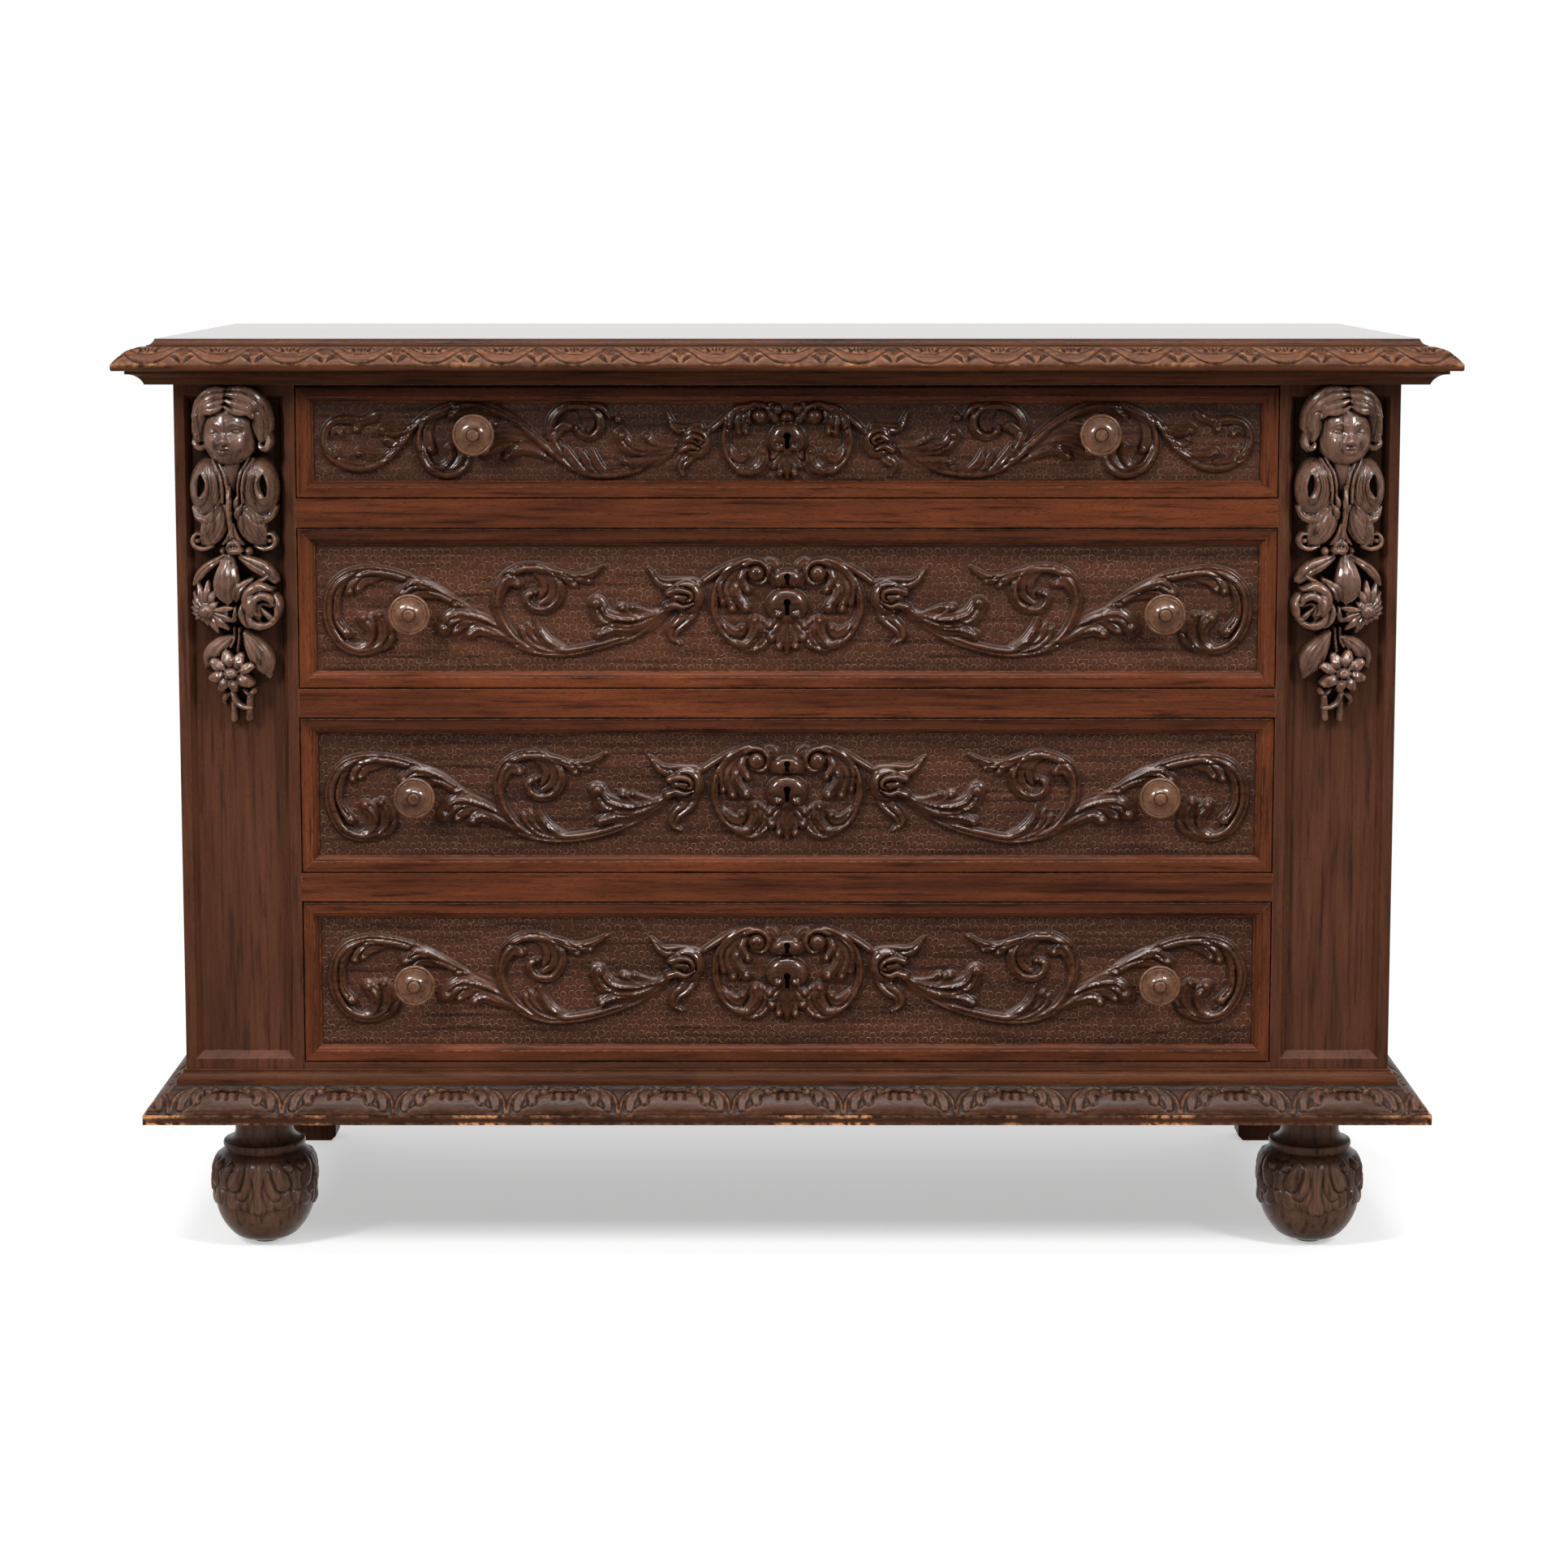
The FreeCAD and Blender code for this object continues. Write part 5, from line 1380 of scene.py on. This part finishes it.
def carveFlowers(over, cut, ridge, egg):
    over(((366, 1520), (215, 1612), (138, 1690), (92, 1765)), (26, 40, 40, 20), (22, 25, 22, 15), 6,
         midrib=1.8)
    over(((500, 1530), (600, 1585), (700, 1640), (778, 1725)), (30, 56, 62, 40), (22, 26, 26, 20), 7,
         midrib=2.0)
    over(((404, 1520), (382, 1660), (374, 1790), (388, 1938)), (34, 92, 104, 12), (24, 33, 34, 24), 9,
         flutes=3, vein=1.8)
    over(((590, 1716), (520, 1770), (470, 1830), (452, 1905)), (18, 44, 50, 16), (22, 27, 28, 22), 7,
         midrib=1.6)
    over(((730, 1690), (650, 1740), (580, 1780)), (12, 26, 30), (24, 28, 26), 6)
    for turn, reach, wide in ((352, 178, 26), (6, 232, 30), (338, 236, 34), (318, 232, 36), (296, 200, 34),
                              (272, 120, 32), (244, 110, 28), (214, 128, 28), (190, 134, 28), (170, 138, 28),
                              (148, 150, 28), (128, 190, 30), (108, 236, 32), (88, 250, 34), (68, 200, 32),
                              (40, 120, 30)):
        tip = 18 if 120 < turn < 260 else 23
        over(ray((208, 1984), turn, 40, 0.62 * reach, reach), (14, wide, wide * 0.45), (28, 28, tip), 4.5,
             midrib=1.0, moat=2.4)
    egg((206, 1984), (68, 66), 22, 14, crown=2.6)
    egg((680, 1952), (150, 172), 10, 22, crown=2.6)
    over(((520, 1905), (500, 2000), (545, 2090), (625, 2130)), (20, 34, 36, 16), (24, 27, 28, 22), 6)
    over(((452, 1940), (440, 2030), (435, 2075)), (10, 26, 12), (22, 25, 20), 5)
    over(((560, 2010), (590, 2080), (660, 2110), (750, 2080), (800, 2000), (815, 1920), (790, 1850)),
         (26, 36, 38, 38, 36, 32, 18), (31, 33, 33, 33, 33, 32, 28), 7, moat=3)
    over(((540, 1960), (545, 1880), (590, 1810), (670, 1780), (760, 1800)), (22, 40, 46, 42, 18),
         (32, 35, 36, 35, 30), 7, moat=3)
    egg((694, 1968), (92, 100), 14, 22, crown=3)
    cut(((700, 1960), (730, 2000), (700, 2050)), (40, 62, 40), 17, (0.8, 1, 0.8))
    over(((640, 2010), (610, 1960), (620, 1890), (680, 1850), (745, 1870), (775, 1930)),
         (16, 30, 34, 34, 30, 14), (36, 39, 41, 41, 39, 35), 6, moat=3)
    over(((672, 1946), (704, 1990), (746, 2034), (772, 2052)), (10, 22, 30, 26), (33, 32, 31, 29), 5, moat=2)
    egg((592, 1932), (70, 118), 16, 25, crown=2.4)
    ridge(((560, 1870), (548, 1940), (570, 2010)), (5, 8, 5), -1.4)


def carveBust(over, cut, ridge, egg):
    egg((432, 800), (96, 190), 8, 20)
    # lower leaves that sweep out to the side scrolls
    for side in (-1, 1):
        at = mirrored(436, side)
        over(at((128, 1120), (150, 1240), (196, 1340), (268, 1420)), (100, 118, 92, 20), (27, 28, 24, 16),
             8, flutes=6, vein=1.7, moat=1)
        over(at((180, 1440), (260, 1462), (330, 1438), (350, 1385), (318, 1335), (262, 1345)),
             (18, 24, 24, 22, 20, 14), (15, 18, 19, 19, 18, 16), 6)
        egg(at((306, 1392))[0], (26, 28), 6, 15)
        over(at((8, 1250), (30, 1350), (85, 1420)), (16, 24, 14), (27, 27, 22), 5, midrib=1.2)
    # rolled shoulder leaves with their almond hollows
    for side in (-1, 1):
        at = mirrored(446, side)
        egg(at((212, 945))[0], (168, 262), 6, 30, crown=2.6)
        over(at((150, 1130), (215, 1190), (290, 1185), (345, 1110)), (40, 50, 46, 24), (24, 26, 24, 17), 7,
             flutes=3, vein=1.4, moat=1)
        for reach in (64, 89, 114, 139, 164):
            cut(at((270 - 0.72 * reach, 752 - 0.28 * reach), (254 - reach, 900), (258 - 0.98 * reach, 985),
                   (262 - 0.6 * reach, 1030 + 0.5 * reach), (286, 1030 + 0.88 * reach),
                   (350, 950 + 0.84 * reach)), (6, 11, 12, 12, 11, 7), 3.2, (0.2, 1.0, 1.0, 1.0, 0.2))
        ridge(at((262, 815), (214, 870), (206, 940), (232, 1010), (276, 1012), (312, 950), (304, 870),
                 (262, 815)), (9, 12, 12, 12, 12, 12, 12, 9), 2.4, (1, 1, 1))
        cut(at((262, 832), (256, 880), (262, 935), (280, 1002)), (12, 33, 38, 12), 15, (0.8, 1, 1, 0.8))
        # straps at the neck and small notched leaves beside the ridge
        over(at((136, 690), (76, 800), (52, 900), (44, 1000)), (16, 18, 17, 13), (22, 29, 31, 30), 5)
        over(at((172, 692), (110, 810), (86, 920), (84, 1060)), (14, 16, 15, 12), (24, 31, 33, 32), 4)
        over(at((58, 985), (30, 1050), (24, 1110)), (8, 26, 20), (28, 31, 28), 5)
        over(at((74, 1080), (36, 1140), (26, 1192)), (12, 30, 18), (28, 30, 26), 5)
    over(((412, 930), (410, 1130), (424, 1300), (440, 1400)), (20, 22, 20, 30), (28, 34, 32, 28), 7,
         midrib=1.6)
    for x in (-58, -30, 0, 30, 58):
        over(((440, 1370), (440 + 0.7 * x, 1420), (440 + x, 1450)), (8, 15, 14), (26, 28, 26), 5)
    egg((342, 1478), (34, 36), 4, 18)
    egg((560, 1482), (40, 48), 4, 18)
    egg((448, 1474), (80, 40), 8, 24, crown=2.6)


def carveHead(over, cut, ridge, egg, swell):
    # the back of the hair, then the skull and the cheeks
    egg((450, 350), (300, 268), 2, 30, crown=2.4)
    egg((418, 470), (232, 292), 12, 33, crown=2.3)
    egg((424, 560), (216, 192), 12, 31, crown=2.4, blend=3)
    # calm child's face on plain proportions: eyes halfway, nose and mouth in thirds below them
    face, eyes, tip, mouth, chin = 398, 452, 540, 606, 700
    swell((face, 350), (150, 110), 2.0)
    for side in (-1, 1):
        eye = face + side * 92 + 8
        swell((eye, eyes + 4), (66, 36), -4.2)
        swell((face + side * 132 + 6, 560), (86, 72), 4.2)
        egg((eye, eyes + 6), (46, 28), 37.0, 5.4 if side > 0 else 4.8, crown=2.0, blend=0.6)
        ridge(((eye - 56, eyes + 4), (eye - 20, eyes - 22), (eye + 24, eyes - 22), (eye + 58, eyes + 6)),
              (5, 9, 9, 5), 1.5, (0.6, 1, 1, 0.6))
        ridge(((eye - 44, eyes + 24), (eye, eyes + 36), (eye + 46, eyes + 22)), (5, 8, 5), 0.9)
        cut(((eye - 50, eyes + 9), (eye, eyes + 16), (eye + 50, eyes + 10)), (3, 5, 3), 0.9)
        ridge(((face + side * 34, eyes - 46), (eye, eyes - 66), (face + side * 158, eyes - 36)),
              (12, 17, 10), 1.4)
    swell((face, eyes + 40), (30, 80), 3.4)
    swell((face, tip - 6), (40, 30), 6.4)
    for side in (-1, 1):
        swell((face + side * 36, tip + 6), (22, 17), 2.8)
    cut(((face - 34, tip + 27), (face, tip + 34), (face + 34, tip + 27)), (7, 11, 7), 2.2, (0.7, 1, 0.7))
    swell((face + 2, mouth + 2), (84, 52), 3.2)
    ridge(((face - 54, mouth), (face - 18, mouth - 15), (face, mouth - 11), (face + 18, mouth - 15),
           (face + 56, mouth)), (6, 13, 11, 13, 6), 1.9, (0.3, 1, 0.9, 1, 0.3))
    ridge(((face - 42, mouth + 16), (face, mouth + 26), (face + 44, mouth + 16)), (6, 15, 6), 2.3,
          (0.3, 1, 0.3))
    cut(((face - 62, mouth - 1), (face - 20, mouth + 4), (face, mouth + 2), (face + 20, mouth + 4),
         (face + 64, mouth - 1)), (5, 6, 6, 6, 5), 2.0, (0.8, 1, 1, 0.8))
    cut(((face - 30, mouth + 50), (face, mouth + 54), (face + 32, mouth + 50)), (9, 13, 9), 1.4)
    swell((face + 4, chin), (58, 38), 3.6)
    # hair, parted in the middle and waved down to hooks beside the jaw
    locks = (
        (((408, 108), (300, 128), (214, 206), (168, 320), (146, 430)),
         ((402, 150), (310, 178), (236, 236), (184, 330), (166, 440), (172, 520)),
         ((396, 200), (322, 232), (254, 262), (208, 312)), ((392, 244), (330, 276), (268, 290), (222, 292))),
        (((438, 100), (566, 124), (664, 206), (720, 320), (738, 430)),
         ((430, 146), (542, 172), (640, 240), (690, 340), (700, 440), (690, 520)),
         ((420, 196), (510, 236), (584, 268), (630, 330)), ((404, 244), (474, 282), (546, 296), (606, 304))),
    )
    for outer, second, third, brow in locks:
        over(outer, (26, 56, 68, 64, 50), (35, 38, 36, 31, 25), 8, flutes=7, vein=2.0, moat=0.3)
        over(second, (22, 46, 56, 56, 50, 36), (40, 43, 42, 38, 33, 29), 4.5, flutes=6, vein=1.9, moat=0.4)
        over(third, (18, 36, 42, 24), (43.5, 46.5, 45.5, 41), 4, flutes=5, vein=1.6, moat=0.5)
        over(brow, (12, 24, 28, 14), (45, 47.5, 46.5, 43), 3.2, flutes=4, vein=1.3, moat=0.5)
    over(((148, 330), (138, 430), (150, 520), (134, 560)), (26, 40, 44, 30), (22, 25, 27, 24), 8, flutes=4,
         vein=1.8)
    over(((138, 500), (132, 560), (166, 598), (208, 592), (216, 560)), (26, 32, 32, 26, 14),
         (24, 26, 28, 28, 25), 7, flutes=3, vein=1.6)
    over(((668, 330), (676, 430), (716, 500), (752, 540)), (40, 62, 62, 30), (34, 33, 30, 25), 9, flutes=5,
         vein=1.9)
    over(((744, 490), (754, 558), (732, 604), (690, 596), (674, 560)), (28, 34, 34, 28, 14),
         (26, 28, 30, 30, 27), 7, flutes=3, vein=1.6)
    cut(((410, 92), (404, 170), (398, 250)), (7, 9, 6), 3.0, (1, 1, 0.6))


def figureField():
    f = figure
    field = {"across": np.arange(-f["half"], f["half"] + f["pitch"] / 2, f["pitch"]),
             "up": np.arange(f["low"], f["high"] + f["pitch"] / 2, f["pitch"])}
    field["height"] = np.full((len(field["up"]), len(field["across"])), -f["sunk"])
    over, cut, ridge, egg, swell = figureTools(field)
    carveTail(over, egg)
    carveLowerFlower(over, cut, egg)
    carveFlowers(over, cut, ridge, egg)
    carveBust(over, cut, ridge, egg)
    carveHead(over, cut, ridge, egg, swell)
    field["height"] = softened(np.maximum(field["height"], -f["sunk"]))
    shaded(field, *f["shade"])
    return field


def figurePiece(node, post, flip, field):
    low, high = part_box(post)
    middle, face = (low.x + high.x) / 2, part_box(node)[1].y
    piece, column, row = gridPiece(f"{node}_figure", len(field["across"]), len(field["up"]))
    movePoints(piece, np.column_stack([middle + flip * field["across"][column] * mm,
                                       face - field["height"][row, column] * mm, field["up"][row] * mm]))
    for layer in ("hollow", "crest"):
        mark(piece, layer, field[layer][row, column])
    bpy.ops.object.mode_set(mode="EDIT")
    bpy.ops.mesh.select_mode(type="EDGE")
    bpy.ops.mesh.select_all(action="SELECT")    # the flat round the figure is cut away just inside the panel
    bpy.ops.mesh.bisect(plane_co=(0, face + figure["clip"] * mm, 0), plane_no=(0, 1, 0), use_fill=True,
                        clear_outer=True)
    bpy.ops.object.mode_set(mode="OBJECT")
    closeUp(piece, figure["smooth"])
    return piece


drawn = figureField()
figureFinish = walnut("carved figure", "walnut_figure", grain="z", carved=True)
for node, post, flip in (("left_carving", "left_front_post", 1), ("right_carving", "right_front_post", -1)):
    drop = figurePiece(node, post, flip, drawn)
    dress(drop, figureFinish)
    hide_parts(node)
    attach(drop, "carcase")
print("figures carved:", len(drop.data.polygons), "faces in each")


# camera, light and floor
camera = {"eye": (0.0, -3.982, 1.172), "lens": 77.6, "tilt": 6.32, "shift": (-0.002, -0.12), "far": 100}
lights = {
    "leftBox": {"place": (-2.6, -2.5, 2.8), "size": (0.5, 1.3), "power": 124},
    "rightBox": {"place": (2.6, -2.5, 2.8), "size": (0.5, 1.3), "power": 110},
    "overhead": {"place": (0.0, -0.9, 3.3), "size": (2.6, 0.9), "power": 100},
}
aim = Vector((0.0, 0.0, 0.55))
room = {"above": (-0.2, 0.9, 0.06, 0.45), "behind": (0.0, 0.9, 0.0, 0.95)}    # from, to, light at each
floorLook = {"size": 60, "paint": 0.62, "glow": 0.44, "fade": (1.3, 3.2)}
white = (1, 1, 1, 1)


def placeCamera():
    bpy.ops.object.camera_add(location=camera["eye"], rotation=(math.radians(90 - camera["tilt"]), 0, 0))
    eye = named("camera")
    eye.data.lens = camera["lens"]
    eye.data.shift_x, eye.data.shift_y = camera["shift"]
    eye.data.clip_end = camera["far"]
    bpy.context.scene.camera = eye


def placeLights():
    for name, light in lights.items():
        place = Vector(light["place"])
        turned = (aim - place).to_track_quat("-Z", "Y").to_euler()
        bpy.ops.object.light_add(type="AREA", location=place, rotation=turned)
        lamp = named(name).data
        lamp.shape = "RECTANGLE"
        lamp.size, lamp.size_y = light["size"]
        lamp.energy = light["power"]


def whiteRoom():    # pure white to the eye; to the wood it is bright above and behind, dim in front
    world = bpy.data.worlds.new("white room")
    bpy.context.scene.world = world
    world.use_nodes = True
    tree = world.node_tree
    seen = tree.nodes["Background"]
    seen.inputs["Color"].default_value = white
    axes = axesOf(tree, addNode(tree, "TexCoord").outputs["Generated"])
    light = sums(tree, spread(tree, axes[2], *room["above"]), spread(tree, axes[1], *room["behind"]))
    glow = addNode(tree, "Background", {"Strength": light})
    toEye = addNode(tree, "LightPath").outputs["Is Camera Ray"]
    mix = addNode(tree, "MixShader", {0: toEye, 1: glow.outputs[0], 2: seen.outputs[0]})
    tree.links.new(mix.outputs[0], tree.nodes["World Output"].inputs["Surface"])


def paleFloor():
    bpy.ops.object.select_all(action="DESELECT")
    bpy.ops.mesh.primitive_plane_add(size=floorLook["size"])
    floor = named("floor")
    material, tree, shader = newMaterial("pale floor")
    tree.nodes.remove(shader)
    reach = addNode(tree, "VectorMath", {0: objectPlace(tree)}, operation="LENGTH").outputs["Value"]
    paint = addNode(tree, "BsdfDiffuse", {"Color": (*[floorLook["paint"]] * 3, 1)})
    glow = addNode(tree, "Emission", {"Color": white, "Strength": floorLook["glow"]})
    far = addNode(tree, "Emission", {"Color": white, "Strength": 1.0})
    near = addNode(tree, "AddShader", {0: paint.outputs[0], 1: glow.outputs[0]})
    fade = spread(tree, reach, *floorLook["fade"])
    mix = addNode(tree, "MixShader", {0: fade, 1: near.outputs[0], 2: far.outputs[0]})
    toEye = addNode(tree, "LightPath").outputs["Is Camera Ray"]    # its glow lights nothing
    seen = addNode(tree, "MixShader", {0: toEye, 1: paint.outputs[0], 2: mix.outputs[0]})
    tree.links.new(seen.outputs[0], tree.nodes["Material Output"].inputs["Surface"])
    floor.data.materials.append(material)
    floor.visible_glossy = False    # polish shows the lights, not the floor


placeCamera()
placeLights()
whiteRoom()
paleFloor()
bpy.context.scene.view_settings.view_transform = "Standard"
print("studio set")
